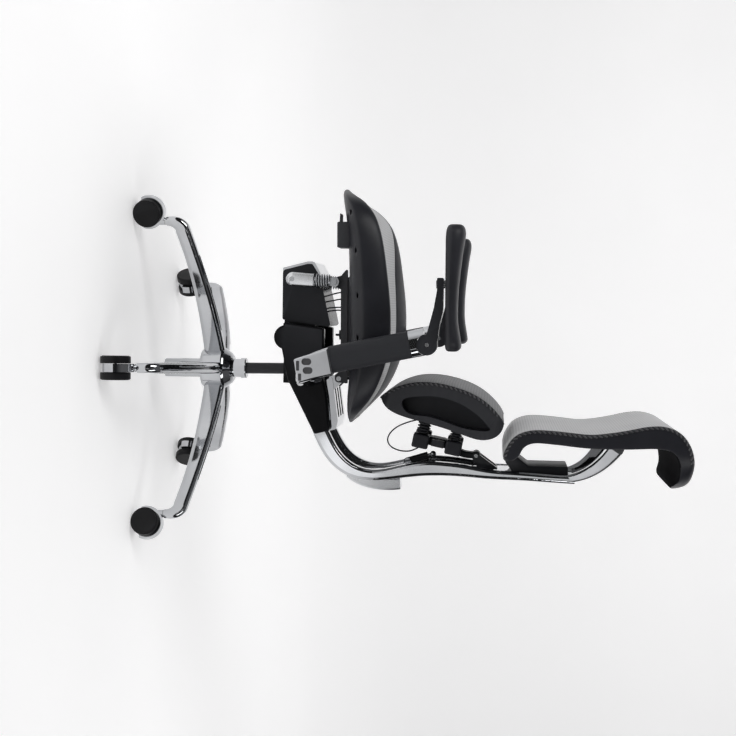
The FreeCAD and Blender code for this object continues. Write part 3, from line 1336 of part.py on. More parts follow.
def hanger_shape():
    """Cross-shaped carrier of the bellows posts, hung from the pin above it."""
    boxes = []
    for x in (-N.bellows_offset, N.bellows_offset):
        for z, start in BELLOWS_ROWS:
            holder = Part.makeBox(32, 30, 34, Vector(x - 16, post_end + 0.3, z - 17))
            boxes.append(holder.makeFillet(4, holder.Edges))
    beam = Part.makeBox(2 * N.bellows_offset, 14, 26, Vector(-N.bellows_offset, post_end + 8, -13))
    for z, start in BELLOWS_ROWS:
        boxes.append(Part.makeBox(2 * N.bellows_offset, 12, 16, Vector(-N.bellows_offset, post_end + 9, z - 8)))
    stem = Part.makeBox(40, 18, 80, Vector(-20, post_end + 6, -40))
    body = leaned(beam.fuse(boxes + [stem]).removeSplitter())
    low = lumbar_point(0, post_end + 15, 20)
    stations = [(0, low.y, low.z, 2 * HANGER_HALF, 16, 4), (0, 178, 370, 2 * HANGER_HALF, 14, 4),
                (0, lumbar_pin.y, lumbar_pin.z, 2 * HANGER_HALF, 14, 4)]
    body = body.fuse([bar(stations, SIDEWAYS), disc(lumbar_pin, 9, -HANGER_HALF, HANGER_HALF)])
    body = body.removeSplitter().cut(disc(lumbar_pin, N.lumbar_pin_radius + N.fit_clearance, -40, 40))
    ball = Part.makeSphere(8, lumbar_joint)
    return body.cut(ball)


keep("lumbar_hanger", feature("LumbarHanger", hanger_shape()), lifted=True)
keep("lumbar_pin", feature("LumbarPin", disc(lumbar_pin, N.lumbar_pin_radius, -26, 26)), lifted=True)


def lumbar_bracket_shape():
    """Two cheeks on the spine that hold the hanger's pin."""
    side = ((lumbar_pin.y - 8, lumbar_pin.z, 7), (lumbar_pin.y + 2, lumbar_pin.z - 10, 7), (206, 400, 0),
            (222, 412, 0), (224, 448, 0), (204, 440, 6))
    gap = HANGER_HALF + 0.4
    cheek = prism(rounded_outline(side), gap, gap + 10)
    bridge_side = ((203, 424, 0), (222, 420, 0), (224, 448, 0), (204, 440, 0))
    bridge = prism(rounded_outline(bridge_side), -gap, gap)
    hole = disc(lumbar_pin, N.lumbar_pin_radius + N.fit_clearance, -40, 40)
    whole = cheek.fuse([mirrored(cheek), bridge]).removeSplitter().cut(hole).cut(spine)
    return max(whole.Solids, key=lambda solid: solid.Volume)


keep("lumbar_bracket", feature("LumbarBracket", lumbar_bracket_shape()), lifted=True)

lumbar_line = (lumbar_joint - strut_foot).normalize()
strut_barrel = round_bar(strut_foot, strut_foot + lumbar_line * 46, N.lumbar_strut_radius)
foot_half = N.strut_foot_half_width
strut_barrel = strut_barrel.common(prism(rounded_outline(((100, 200, 0), (260, 200, 0), (260, 400, 0), (100, 400, 0))),
                                         -foot_half, foot_half))
foot = disc(strut_foot, N.lumbar_strut_radius, -foot_half, foot_half)
strut_barrel = strut_barrel.fuse(foot).removeSplitter()
strut_barrel = strut_barrel.cut(disc(strut_foot, 3 + N.fit_clearance, -20, 20))
rod_bore = round_bar(strut_foot + lumbar_line * 12, lumbar_joint, N.lumbar_rod_radius + N.fit_clearance)
keep("lumbar_strut_cylinder", feature("LumbarStrutCylinder", strut_barrel.cut(rod_bore)), lifted=True)
rod = round_bar(strut_foot + lumbar_line * 18, lumbar_joint, N.lumbar_rod_radius)
rod = rod.fuse(Part.makeSphere(6.5, lumbar_joint)).removeSplitter()
keep("lumbar_strut_rod", feature("LumbarStrutRod", rod), lifted=True)

# Lumbar cable: a loop that hangs between the shell and the lower holder
CABLE_LOOP = ((99, 287), (103, 270), (108, 252), (116, 233), (128, 218), (144, 210), (158, 216), (166, 231),
              (169, 248), (167, 265), (158, 280))
loop_points = [Vector(60, y, z) for y, z in CABLE_LOOP]
lumbar_cable = tube_along(loop_points, N.cable_diameter, "lumbar cable")
for blocker in ("lumbar_shell", "lumbar_hanger"):
    lumbar_cable = lumbar_cable.cut(nodes[blocker].Shape)
lumbar_cable = max(lumbar_cable.Solids, key=lambda solid: solid.Volume)
keep("lumbar_cable", feature("LumbarCable", lumbar_cable), lifted=True)

# Check and write

doc.recompute()
for item in doc.Objects:
    if "Invalid" in item.State or "Error" in item.State:
        raise RuntimeError(f"{item.Label}: {item.State}")
for label, piece in nodes.items():
    if piece.Shape.isNull() or not piece.Shape.isValid():
        raise RuntimeError(f"{label}: bad shape")
os.makedirs("parts", exist_ok=True)
for label, piece in nodes.items():
    piece.Shape.exportStep(f"parts/{label}.step")
print(f"{len(nodes)} nodes")
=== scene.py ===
import json
import math

import bmesh
import bpy
from mathutils import Matrix, Vector


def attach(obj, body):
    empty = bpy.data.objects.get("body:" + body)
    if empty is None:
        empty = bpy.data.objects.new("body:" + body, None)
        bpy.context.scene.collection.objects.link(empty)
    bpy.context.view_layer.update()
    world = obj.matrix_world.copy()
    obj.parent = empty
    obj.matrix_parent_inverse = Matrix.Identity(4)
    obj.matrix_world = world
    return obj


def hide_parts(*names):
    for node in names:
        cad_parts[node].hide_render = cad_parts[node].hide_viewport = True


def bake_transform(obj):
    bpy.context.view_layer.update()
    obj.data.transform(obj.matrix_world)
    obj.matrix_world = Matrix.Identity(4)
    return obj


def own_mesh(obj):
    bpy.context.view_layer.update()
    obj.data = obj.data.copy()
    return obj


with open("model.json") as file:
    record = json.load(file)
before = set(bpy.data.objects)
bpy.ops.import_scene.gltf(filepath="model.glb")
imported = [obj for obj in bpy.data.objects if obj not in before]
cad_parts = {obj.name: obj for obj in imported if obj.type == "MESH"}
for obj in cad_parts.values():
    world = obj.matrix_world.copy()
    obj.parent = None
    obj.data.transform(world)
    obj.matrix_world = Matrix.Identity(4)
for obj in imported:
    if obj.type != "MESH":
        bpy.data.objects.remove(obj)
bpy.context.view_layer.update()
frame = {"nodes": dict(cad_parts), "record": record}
scene = bpy.context.scene
nodes = frame["nodes"]
MM = 0.001
# Height of the tilt shaft: the pieces above the column are measured from it
TILT_HEIGHT = 318
SIDES = (("left", 1), ("right", -1))
ACROSS = Vector((1, 0, 0))


# Material helpers

EVEN = (1, 1, 1)
PALE_EDGE = (0.035, 0.036, 0.04)
# Pointiness of a flat face and of a worn edge
FLAT_POINT = 0.5
EDGE_POINT = 0.62


def new_material(name):
    material = bpy.data.materials.new(name)
    material.use_nodes = True
    tree = material.node_tree
    return material, tree, tree.nodes["Principled BSDF"]


def link(tree, source, target):
    tree.links.new(source, target)


def object_coordinates(tree, stretch=EVEN):
    """Object coordinates, scaled along each axis."""
    coordinates = tree.nodes.new("ShaderNodeTexCoord")
    mapping = tree.nodes.new("ShaderNodeMapping")
    mapping.inputs["Scale"].default_value = stretch
    link(tree, coordinates.outputs["Object"], mapping.inputs["Vector"])
    return mapping.outputs["Vector"]


def noise(tree, scale, detail, stretch=EVEN):
    texture = tree.nodes.new("ShaderNodeTexNoise")
    texture.inputs["Scale"].default_value = scale
    texture.inputs["Detail"].default_value = detail
    link(tree, object_coordinates(tree, stretch), texture.inputs["Vector"])
    return texture.outputs["Fac"]


def bands(tree, direction, scale):
    """Fine bands along one axis, slightly uneven."""
    wave = tree.nodes.new("ShaderNodeTexWave")
    wave.wave_type = "BANDS"
    wave.bands_direction = direction
    wave.inputs["Scale"].default_value = scale
    wave.inputs["Distortion"].default_value = 0.3
    wave.inputs["Detail"].default_value = 1.0
    link(tree, object_coordinates(tree), wave.inputs["Vector"])
    return wave.outputs["Fac"]


def ramp(tree, factor, stops):
    """Colour ramp from (position, colour) stops."""
    node = tree.nodes.new("ShaderNodeValToRGB")
    elements = node.color_ramp.elements
    while len(elements) < len(stops):
        elements.new(0.5)
    for element, (position, colour) in zip(elements, stops):
        element.position = position
        element.color = (*colour, 1)
    link(tree, factor, node.inputs["Fac"])
    return node.outputs["Color"]


def two_tones(tree, factor, tones, start=0.3, end=0.7):
    """Colour that goes from a dark to a light tone."""
    dark, light = tones
    return ramp(tree, factor, ((start, dark), (end, light)))


def spread(tree, factor, low, high):
    """Map a 0 to 1 pattern onto a range."""
    node = tree.nodes.new("ShaderNodeMapRange")
    node.inputs["To Min"].default_value = low
    node.inputs["To Max"].default_value = high
    link(tree, factor, node.inputs["Value"])
    return node.outputs["Result"]


def bump(tree, shader, height, strength, distance):
    node = tree.nodes.new("ShaderNodeBump")
    node.inputs["Strength"].default_value = strength
    node.inputs["Distance"].default_value = distance
    link(tree, height, node.inputs["Height"])
    link(tree, node.outputs["Normal"], shader.inputs["Normal"])


def edge_wear(tree):
    """1 on exposed edges, 0 elsewhere."""
    geometry = tree.nodes.new("ShaderNodeNewGeometry")
    mapped = tree.nodes.new("ShaderNodeMapRange")
    mapped.inputs["From Min"].default_value = FLAT_POINT
    mapped.inputs["From Max"].default_value = EDGE_POINT
    link(tree, geometry.outputs["Pointiness"], mapped.inputs["Value"])
    return mapped.outputs["Result"]


def mix_colours(tree, factor, first, second):
    node = tree.nodes.new("ShaderNodeMix")
    node.data_type = "RGBA"
    link(tree, factor, node.inputs["Factor"])
    for socket, colour in (("A", first), ("B", second)):
        target = [item for item in node.inputs if item.name == socket and item.type == "RGBA"][0]
        if isinstance(colour, tuple):
            target.default_value = (*colour, 1)
        else:
            link(tree, colour, target)
    return [item for item in node.outputs if item.type == "RGBA"][0]


# Materials; tones are pairs of a dark and a light colour, and depths are metres

def metal(name, tones, roughness, grain, depth, stretch=EVEN):
    """Metal with a cloudy tone, a roughness that varies and fine polishing marks."""
    material, tree, shader = new_material(name)
    shader.inputs["Metallic"].default_value = 1.0
    clouds = noise(tree, scale=9, detail=4)
    link(tree, two_tones(tree, clouds, tones), shader.inputs["Base Color"])
    smears = noise(tree, scale=40, detail=5, stretch=stretch)
    link(tree, spread(tree, smears, *roughness), shader.inputs["Roughness"])
    marks = noise(tree, grain, detail=2, stretch=stretch)
    bump(tree, shader, marks, strength=0.05, distance=depth)
    return material


def plastic(name, tones, roughness, grain, depth, worn=PALE_EDGE, shine=0.34):
    """Moulded plastic with a fine grain and slightly paler edges."""
    material, tree, shader = new_material(name)
    tone = two_tones(tree, noise(tree, scale=14, detail=5), tones)
    link(tree, mix_colours(tree, edge_wear(tree), tone, worn), shader.inputs["Base Color"])
    patches = noise(tree, scale=55, detail=4)
    link(tree, spread(tree, patches, *roughness), shader.inputs["Roughness"])
    shader.inputs["Specular IOR Level"].default_value = shine
    bump(tree, shader, noise(tree, grain, detail=2), strength=0.35, distance=depth)
    return material


# Weave: scales of its ribs and threads, the ribs' share of the relief, and the tone of its darker patches
RIB_SCALE = 95
THREAD_SCALE = 58
RIB_SHARE = 0.35
PATCH_TONE = 0.85


def woven_mesh(name, tones, lengthwise):
    """Woven fabric: fine ribs across it and threads along it, with soft patches."""
    material, tree, shader = new_material(name)
    ribs = bands(tree, "X", RIB_SCALE)
    threads = bands(tree, lengthwise, THREAD_SCALE)
    weave = tree.nodes.new("ShaderNodeMath")
    weave.operation = "MULTIPLY_ADD"
    weave.inputs[1].default_value = RIB_SHARE
    link(tree, ribs, weave.inputs[0])
    link(tree, spread(tree, threads, low=0, high=1 - RIB_SHARE), weave.inputs[2])
    relief = weave.outputs[0]
    fine = two_tones(tree, relief, tones, start=0.1, end=0.6)
    cloud = noise(tree, scale=6, detail=3)
    light = tones[1]
    deeper = tuple(PATCH_TONE * channel for channel in light)
    patches = two_tones(tree, cloud, (deeper, light), start=0.35, end=0.65)
    blended = mix_colours(tree, spread(tree, cloud, low=0.3, high=0.5), fine, patches)
    link(tree, blended, shader.inputs["Base Color"])
    rough = spread(tree, noise(tree, scale=30, detail=3), low=0.65, high=0.8)
    link(tree, rough, shader.inputs["Roughness"])
    shader.inputs["Sheen Weight"].default_value = 0.2
    bump(tree, shader, relief, strength=0.35, distance=0.0006)
    return material


def twisted_trim(name, tones):
    """Strand of twisted trim, flecked with a paler thread."""
    material, tree, shader = new_material(name)
    flecks = two_tones(tree, noise(tree, scale=700, detail=2), tones, start=0.4, end=0.65)
    link(tree, flecks, shader.inputs["Base Color"])
    rough = spread(tree, noise(tree, scale=300, detail=2), low=0.45, high=0.7)
    link(tree, rough, shader.inputs["Roughness"])
    bump(tree, shader, noise(tree, scale=1500, detail=2), strength=0.4, distance=0.0002)
    return material


CHROME = ((0.45, 0.46, 0.478), (0.585, 0.595, 0.61))
SATIN = ((0.60, 0.61, 0.63), (0.76, 0.77, 0.78))
STEEL = ((0.42, 0.43, 0.45), (0.62, 0.63, 0.64))
# Darker steel that paints shade on the floors of the bracket pockets
POCKET_SHADE_TONES = ((0.09, 0.09, 0.095), (0.15, 0.15, 0.156))
COAL = ((0.005, 0.005, 0.0056), (0.009, 0.009, 0.010))
GRAPHITE = ((0.009, 0.0094, 0.0130), (0.015, 0.0155, 0.0205))
CARRIER_GREY = ((0.05, 0.05, 0.053), (0.07, 0.07, 0.074))
UPRIGHT_GREY = ((0.34, 0.341, 0.346), (0.55, 0.552, 0.559))
SEAT_GREY = ((0.29, 0.291, 0.297), (0.48, 0.482, 0.49))
LUMBAR_GREY = ((0.06, 0.061, 0.065), (0.16, 0.161, 0.167))
DARK_STRAND = ((0.006, 0.006, 0.008), (0.02, 0.02, 0.024))
PALE_STRAND = ((0.035, 0.035, 0.038), (0.15, 0.15, 0.158))
MATERIALS = {
    "polished": metal("polished_metal", CHROME, roughness=(0.03, 0.085), grain=90, depth=0.00002),
    "satin_metal": metal("satin_metal", SATIN, roughness=(0.14, 0.24), grain=420, depth=0.00004,
                         stretch=(1, 1, 4)),
    "steel": metal("turned_steel", STEEL, roughness=(0.2, 0.32), grain=600, depth=0.00004,
                   stretch=(1, 1, 6)),
    "black_metal": plastic("black_enamel", COAL, roughness=(0.10, 0.18), grain=500, depth=0.00001,
                           shine=0.16),
    "black_plastic": plastic("grained_plastic", GRAPHITE, roughness=(0.36, 0.48), grain=1400,
                             depth=0.00005),
    "tread": plastic("caster_polymer", COAL, roughness=(0.32, 0.46), grain=700, depth=0.00004,
                     shine=0.2),
    "soft_pad": plastic("soft_skin", GRAPHITE, roughness=(0.42, 0.55), grain=1900, depth=0.00012),
    "cable": plastic("cable_sheath", COAL, roughness=(0.4, 0.5), grain=800, depth=0.00003),
    "mesh": woven_mesh("upright_weave", UPRIGHT_GREY, lengthwise="Z"),
}
COVER_GLOSS = plastic("gloss_plastic", COAL, roughness=(0.17, 0.25), grain=900, depth=0.00002, shine=0.06)
SLEEVE_SKIN = plastic("sleeve_plastic", COAL, roughness=(0.36, 0.48), grain=1400, depth=0.00005, shine=0.08)
CARRIER_ENAMEL = plastic("carrier_enamel", CARRIER_GREY, roughness=(0.4, 0.5), grain=900, depth=0.00003)
# Darker, matte material that paints shade on the faces under the roll
PAINTED_ROLL_SHADE = plastic("matte_painted_shade", COAL, roughness=(0.9, 1.0), grain=1200, depth=0.0001, worn=COAL[1],
                 shine=0.02)
# Darker metal for painted shade on the floors of the bracket pockets
POCKET_SHADE = metal("pocket_painted_shade", POCKET_SHADE_TONES, roughness=(0.3, 0.45), grain=500, depth=0.00004)
SEAT_WEAVE = woven_mesh("seat_weave", SEAT_GREY, lengthwise="Y")
LUMBAR_WEAVE = woven_mesh("lumbar_weave", LUMBAR_GREY, lengthwise="Z")
TRIM = (twisted_trim("dark_strand", DARK_STRAND), twisted_trim("pale_strand", PALE_STRAND))

SLOT_OF = {entry["node"]: entry["material_slot"] for entry in frame["record"]["subparts"]}
# Nodes whose material differs from their slot's
OWN_LOOK = {
    "mech_covers": COVER_GLOSS,
    "mech_chassis": COVER_GLOSS,
    "arm_sleeves": SLEEVE_SKIN,
    "seat_carrier": CARRIER_ENAMEL,
    "gas_guide_bush": MATERIALS["polished"],
}


def dress(piece, *materials):
    """Give a piece or a node these materials alone."""
    piece.data.materials.clear()
    for material in materials:
        piece.data.materials.append(material)


def dress_nodes():
    for name, node in nodes.items():
        dress(node, OWN_LOOK.get(name, MATERIALS[SLOT_OF[name]]))


# Lines; lengths are in millimetres, with heights measured from the tilt shaft

def lifted(x, y, z):
    """Point in metres above the floor."""
    return Vector((x, y, z + TILT_HEIGHT)) * MM


def curve_value(a, b, c, d, t):
    """Value on the smooth curve through four values, a share t of the way from b to c."""
    bend = 2 * a - 5 * b + 4 * c - d
    twist = 3 * b - a - 3 * c + d
    return 0.5 * (2 * b + (c - a) * t + bend * t ** 2 + twist * t ** 3)


def smooth_line(points, steps):
    """Points along a smooth curve through the given tuples."""
    line = []
    last = len(points) - 1
    for index in range(last):
        around = [points[min(max(index + shift, 0), last)] for shift in (-1, 0, 1, 2)]
        for step in range(steps):
            line.append(tuple(curve_value(*values, step / steps) for values in zip(*around)))
    line.append(points[-1])
    return line


def lengths_along(line):
    """Distance of each point from the first, along the line."""
    lengths = [0.0]
    for start, end in zip(line, line[1:]):
        lengths.append(lengths[-1] + (Vector(end) - Vector(start)).length)
    return lengths


def evenly(line, count):
    """Points in equal steps along a line."""
    lengths = lengths_along(line)
    spots = []
    index = 0
    for step in range(count):
        target = lengths[-1] * step / (count - 1)
        while index < len(line) - 2 and lengths[index + 1] < target:
            index += 1
        share = (target - lengths[index]) / (lengths[index + 1] - lengths[index])
        spots.append(Vector(line[index]).lerp(Vector(line[index + 1]), share))
    return spots


def direction_at(line, index):
    """Direction of a line at one of its points."""
    before = line[max(index - 1, 0)]
    after = line[min(index + 1, len(line) - 1)]
    return (after - before).normalized()


def shares_across(steps):
    """Even steps from -1 to 1."""
    return [step / steps for step in range(-steps, steps + 1)]


def quarter(steps):
    """Angles in even steps from 0 to a right angle."""
    return [math.pi / 2 * step / steps for step in range(steps + 1)]


def ring_points(centre, across, behind, radius, steps):
    """Points on a circle that two directions span."""
    points = []
    for step in range(steps):
        angle = 2 * math.pi * step / steps
        out = across * math.cos(angle) + behind * math.sin(angle)
        points.append(centre + out * (radius * MM))
    return points


# Meshes

def mesh_object(name, shape, smooth=True):
    """Object of a mesh in the making, which is used up."""
    data = bpy.data.meshes.new(name)
    shape.to_mesh(data)
    shape.free()
    for face in data.polygons:
        face.use_smooth = smooth
    made = bpy.data.objects.new(name, data)
    scene.collection.objects.link(made)
    return made


def finish_mesh(name, shape, body, slot, levels=0):
    """Piece of a mesh in the making, with its slot's material; a piece with no body is left unattached."""
    piece = mesh_object(name, shape)
    dress(piece, MATERIALS[slot])
    if levels:
        rounding = piece.modifiers.new("rounding", "SUBSURF")
        rounding.levels = levels
        rounding.render_levels = levels
    if body:
        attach(piece, body)
    return piece


def join_loops(shape, loops):
    """Faces between closed loops of corners and over the two end loops."""
    count = len(loops[0])
    faces = []
    for low, high in zip(loops, loops[1:]):
        for index in range(count):
            after = (index + 1) % count
            faces.append(shape.faces.new((low[index], low[after], high[after], high[index])))
    faces.append(shape.faces.new(list(reversed(loops[0]))))
    faces.append(shape.faces.new(loops[-1]))
    bmesh.ops.recalc_face_normals(shape, faces=faces)


def solid_skin(name, rows, body, slot, levels=1):
    """Closed smooth mesh over rows of points that are rings."""
    shape = bmesh.new()
    join_loops(shape, [[shape.verts.new(point) for point in row] for row in rows])
    return finish_mesh(name, shape, body, slot, levels)


def sheet_skin(name, rows, body):
    """Open smooth mesh of fabric over rows of points."""
    shape = bmesh.new()
    grid = [[shape.verts.new(point) for point in row] for row in rows]
    for low, high in zip(grid, grid[1:]):
        for corners in zip(low, low[1:], high[1:], high):
            shape.faces.new(corners)
    bmesh.ops.recalc_face_normals(shape, faces=shape.faces)
    return finish_mesh(name, shape, body, "mesh", levels=1)


def thicken(piece, thickness):
    shell = piece.modifiers.new("thickness", "SOLIDIFY")
    shell.thickness = thickness * MM
    shell.offset = -1


TURNED_STEPS = 40


def turned(shape, profile, centre, axis):
    """Add a solid of revolution from (radius, distance) points to a mesh in the making."""
    axis = Vector(axis).normalized()
    across = axis.orthogonal().normalized()
    behind = axis.cross(across)
    rings = []
    for radius, distance in profile:
        points = ring_points(centre + axis * (distance * MM), across, behind, radius, TURNED_STEPS)
        rings.append([shape.verts.new(point) for point in points])
    join_loops(shape, rings)


def rounded_block(shape, low, high, edge, along=None):
    """Add a box between two corners, with rounded edges: all, or those along one axis."""
    size = Vector(high) - Vector(low)
    middle = (Vector(high) + Vector(low)) / 2
    turn = Matrix.Translation(lifted(*middle)) @ Matrix.Diagonal((*(size * MM), 1))
    made = bmesh.ops.create_cube(shape, size=1, matrix=turn)
    edges = []
    for line in {line for corner in made["verts"] for line in corner.link_edges}:
        reach = line.verts[0].co - line.verts[1].co
        if along is None or abs(reach[along]) > 0.5 * reach.length:
            edges.append(line)
    edges.sort(key=lambda line: tuple(line.verts[0].co + line.verts[1].co))
    bmesh.ops.bevel(shape, geom=edges, offset=edge * MM, segments=6, profile=0.5, affect="EDGES")


def prism(outline, near, far, edge):
    """Block between two distances to the side, with an upright outline and rounded edges."""
    shape = bmesh.new()
    join_loops(shape, [[shape.verts.new(lifted(x, y, z)) for y, z in outline] for x in (near, far)])
    bmesh.ops.bevel(shape, geom=shape.edges[:], offset=edge * MM, segments=3, profile=0.5, affect="EDGES")
    return shape


def carve(piece, shape):
    """Apply the piece's modifiers and cut a mesh in the making out of it."""
    cutter = mesh_object("cutter", shape, smooth=False)
    cut = piece.modifiers.new("cut", "BOOLEAN")
    cut.object = cutter
    cut.solver = "MANIFOLD"
    graph = bpy.context.evaluated_depsgraph_get()
    data = bpy.data.meshes.new_from_object(piece.evaluated_get(graph))
    piece.modifiers.clear()
    piece.data = data
    bpy.data.objects.remove(cutter)


def wire(name, spots, radius, sides, material):
    """Round wire along a line of points; sides is the curve's bevel resolution."""
    curve = bpy.data.curves.new(name, "CURVE")
    curve.dimensions = "3D"
    curve.bevel_depth = radius * MM
    curve.bevel_resolution = sides
    curve.use_fill_caps = True
    spline = curve.splines.new("POLY")
    spline.points.add(len(spots) - 1)
    for point, spot in zip(spline.points, spots):
        point.co = (*spot, 1)
    curve.materials.append(material)
    piece = bpy.data.objects.new(name, curve)
    scene.collection.objects.link(piece)
    return piece


# Camera, floor and light, in metres

# Camera fitted to the photograph: turns in radians, place, and focal length in pixels
CAMERA_YAW = 0.0463
CAMERA_PITCH = 0.0965
CAMERA_ROLL = 0.009
CAMERA_PLACE = (2.8336, -0.1336, 0.7565)
FOCAL_PIXELS = 1332.7
PICTURE_PIXELS = 736
SENSOR_WIDTH = 36
# Paper sweep: front edge, where its bend starts, radius of the bend, top and half width
SWEEP_FRONT = 6.0
SWEEP_TURN = -2.2
SWEEP_BEND = 1.6
SWEEP_TOP = 7.0
SWEEP_SIDE = 7.0
SWEEP_STEPS = 8
PAPER = ((0.84, 0.837, 0.84), (0.86, 0.857, 0.86))
PAPER_LIGHT = (1.0, 0.995, 0.995, 1)
PAPER_GLOW = 0.325
# Walls that the camera sees, and the dim room that the chair reflects, from below to above
PALE_WALL = (1.3, 1.295, 1.295)
ROOM_SHADES = ((0.0, (0.05, 0.05, 0.05)), (0.35, (0.03, 0.03, 0.033)), (0.8, (0.24, 0.24, 0.246)))
ROOM_STRENGTH = 0.5


def point_camera():
    """Camera at the photograph's viewpoint, where the chair's up lies along the picture's right."""
    level_reach = math.cos(CAMERA_PITCH)
    forward = Vector((-math.cos(CAMERA_YAW) * level_reach, math.sin(CAMERA_YAW) * level_reach,
                      -math.sin(CAMERA_PITCH)))
    level = forward.cross(Vector((0, 0, 1))).normalized()
    upright = level.cross(forward)
    right = level * math.cos(CAMERA_ROLL) + upright * math.sin(CAMERA_ROLL)
    up = upright * math.cos(CAMERA_ROLL) - level * math.sin(CAMERA_ROLL)
    data = bpy.data.cameras.new("camera")
    data.sensor_width = SENSOR_WIDTH
    data.lens = SENSOR_WIDTH * FOCAL_PIXELS / PICTURE_PIXELS
    camera = bpy.data.objects.new("camera", data)
    scene.collection.objects.link(camera)
    turn = Matrix((up, -right, -forward)).transposed().to_4x4()
    camera.matrix_world = Matrix.Translation(CAMERA_PLACE) @ turn
    scene.camera = camera


def studio_paper():
    material, tree, shader = new_material("studio_paper")
    link(tree, two_tones(tree, noise(tree, scale=3, detail=3), PAPER), shader.inputs["Base Color"])
    shader.inputs["Roughness"].default_value = 0.6
    shader.inputs["Emission Color"].default_value = PAPER_LIGHT
    shader.inputs["Emission Strength"].default_value = PAPER_GLOW
    return material


def studio_sweep():
    """Pale floor that curves up into a backdrop and glows a little, as lit paper does."""
    line = [(SWEEP_FRONT, 0.0), (SWEEP_TURN, 0.0)]
    for angle in quarter(SWEEP_STEPS)[1:]:
        line.append((SWEEP_TURN - SWEEP_BEND * math.sin(angle), SWEEP_BEND - SWEEP_BEND * math.cos(angle)))
    line.append((SWEEP_TURN - SWEEP_BEND, SWEEP_TOP))
    shape = bmesh.new()
    rows = [[shape.verts.new((x, y, z)) for y in (-SWEEP_SIDE, SWEEP_SIDE)] for x, z in line]
    for low, high in zip(rows, rows[1:]):
        shape.faces.new((low[0], low[1], high[1], high[0]))
    sweep = mesh_object("studio_sweep", shape)
    dress(sweep, studio_paper())


def area_light(name, spot, target, size, power):
    data = bpy.data.lights.new(name, "AREA")
    data.shape = "RECTANGLE"
    data.size, data.size_y = size
    data.energy = power
    lamp = bpy.data.objects.new(name, data)
    scene.collection.objects.link(lamp)
    lamp.location = spot
    way = Vector(target) - Vector(spot)
    lamp.rotation_euler = way.to_track_quat("-Z", "Y").to_euler()
    return lamp


def studio_room():
    """World that shows the camera pale walls and lights the chair as a dim room."""
    world = bpy.data.worlds.new("studio")
    scene.world = world
    world.use_nodes = True
    tree = world.node_tree
    background = tree.nodes["Background"]
    coordinates = tree.nodes.new("ShaderNodeTexCoord")
    split = tree.nodes.new("ShaderNodeSeparateXYZ")
    link(tree, coordinates.outputs["Generated"], split.inputs["Vector"])
    room = ramp(tree, split.outputs["Z"], ROOM_SHADES)
    seen = tree.nodes.new("ShaderNodeLightPath").outputs["Is Camera Ray"]
    link(tree, mix_colours(tree, seen, room, PALE_WALL), background.inputs["Color"])
    background.inputs["Strength"].default_value = ROOM_STRENGTH


def studio_light():
    """Soft boxes beside the chair, a broad light overhead and one on the backdrop."""
    area_light("key", spot=(2.0, -2.4, 2.6), target=(0, 0, 0.6), size=(1.6, 2.2), power=48)
    area_light("fill", spot=(2.2, 2.6, 1.9), target=(0, 0.1, 0.6), size=(1.2, 2.2), power=24)
    top = area_light("top", spot=(0.2, 0, 3.6), target=(0, 0, 0.3), size=(3.0, 2.4), power=36)
    top.visible_glossy = False
    area_light("strip", spot=(3.0, 0.52, 0.85), target=(0, 0.2, 0.8), size=(0.2, 1.9), power=1.0)
    area_light("backdrop", spot=(-1.2, 0, 3.4), target=(-3.6, 0, 1.0), size=(5.0, 1.0), power=28)
    scene.view_settings.view_transform = "Standard"


# Seat: (y, half width share, underside, rim, inner lip share, inner lip drop)
SEAT_HALF_WIDTH = 245
SEAT_SPOTS = (
    (-376, 0.30, 124, 129, 0.80, 0.3), (-372, 0.42, 122, 131, 0.80, 0.5), (-360, 0.67, 125, 147, 0.82, 1),
    (-342, 0.83, 129, 174, 0.84, 2), (-312, 0.925, 135, 198, 0.86, 3), (-268, 0.97, 140, 213, 0.80, 9),
    (-205, 0.99, 142.5, 223, 0.70, 16), (-125, 1.00, 143, 231, 0.64, 20), (-55, 0.99, 143, 229, 0.64, 20),
    (5, 0.965, 142, 212, 0.66, 17), (50, 0.906, 138, 189, 0.70, 13), (82, 0.79, 137, 161, 0.76, 6),
    (104, 0.45, 135, 140, 0.80, 1), (107, 0.32, 136, 139, 0.80, 0.5))
# Outside of the seat from its middle up to the rim: shares of the half width and of the height
SEAT_SIDE = (
    (0.0, 0.0), (0.35, 0.0), (0.62, 0.0), (0.79, 0.01), (0.89, 0.09), (0.955, 0.22), (0.985, 0.32),
    (1.0, 0.355), (1.0, 0.42), (0.993, 0.58), (0.978, 0.76), (0.96, 0.90), (0.942, 0.975), (0.925, 1.0))
# Slope from the rim's crest to the lip: shares of the way across and of the drop
RIM_CREST = 0.92
LIP_SLOPE = ((0.4, 0.25), (0.85, 0.82))
# Rounding and depth of the lip, and the most of the tub's depth that each takes up
LIP_ROUND = 1.5
LIP_ROUND_SHARE = 0.3
LIP_DEPTH = 4
LIP_DEPTH_SHARE = 0.5
# Inside of the tub under the lip: shares of the lip's width, of the half width and of the tub's depth
TUB_SIDE = ((0.5, 0.42, 0.6), (0, 0.70, 0.88), (0, 0.45, 1), (0, 0, 1))
SEAT_FLOOR = 6
SHALLOWEST_TUB = 0.4
# Solid nose in front of the tub: where it begins, the length of its slope and its depth under the lip
NOSE_START = -325
NOSE_SLOPE = 20
NOSE_DEPTH = 4
# Opening in the seat's floor: half width, front, rear, both ends of the cut and corner
CABLE_OPENING = (56, -235, -45, 100, 160, 6)
# Small notches along both sides: places, shares of the half width and of the height, half sizes
NOTCHES = (-319, -243, -155, -72)
NOTCH_ACROSS = 0.968
NOTCH_UP = 0.265
NOTCH_SIZE = (6, 5.5, 2.2)
# Runners under the seat: inner and outer distance, front, rear, underside, top and edge
SEAT_RUNNER = (60, 76, -190, 0, 128.5, 146, 2)
# Part of the seat that the fabric covers
FABRIC_SPOTS = SEAT_SPOTS[2:-1]
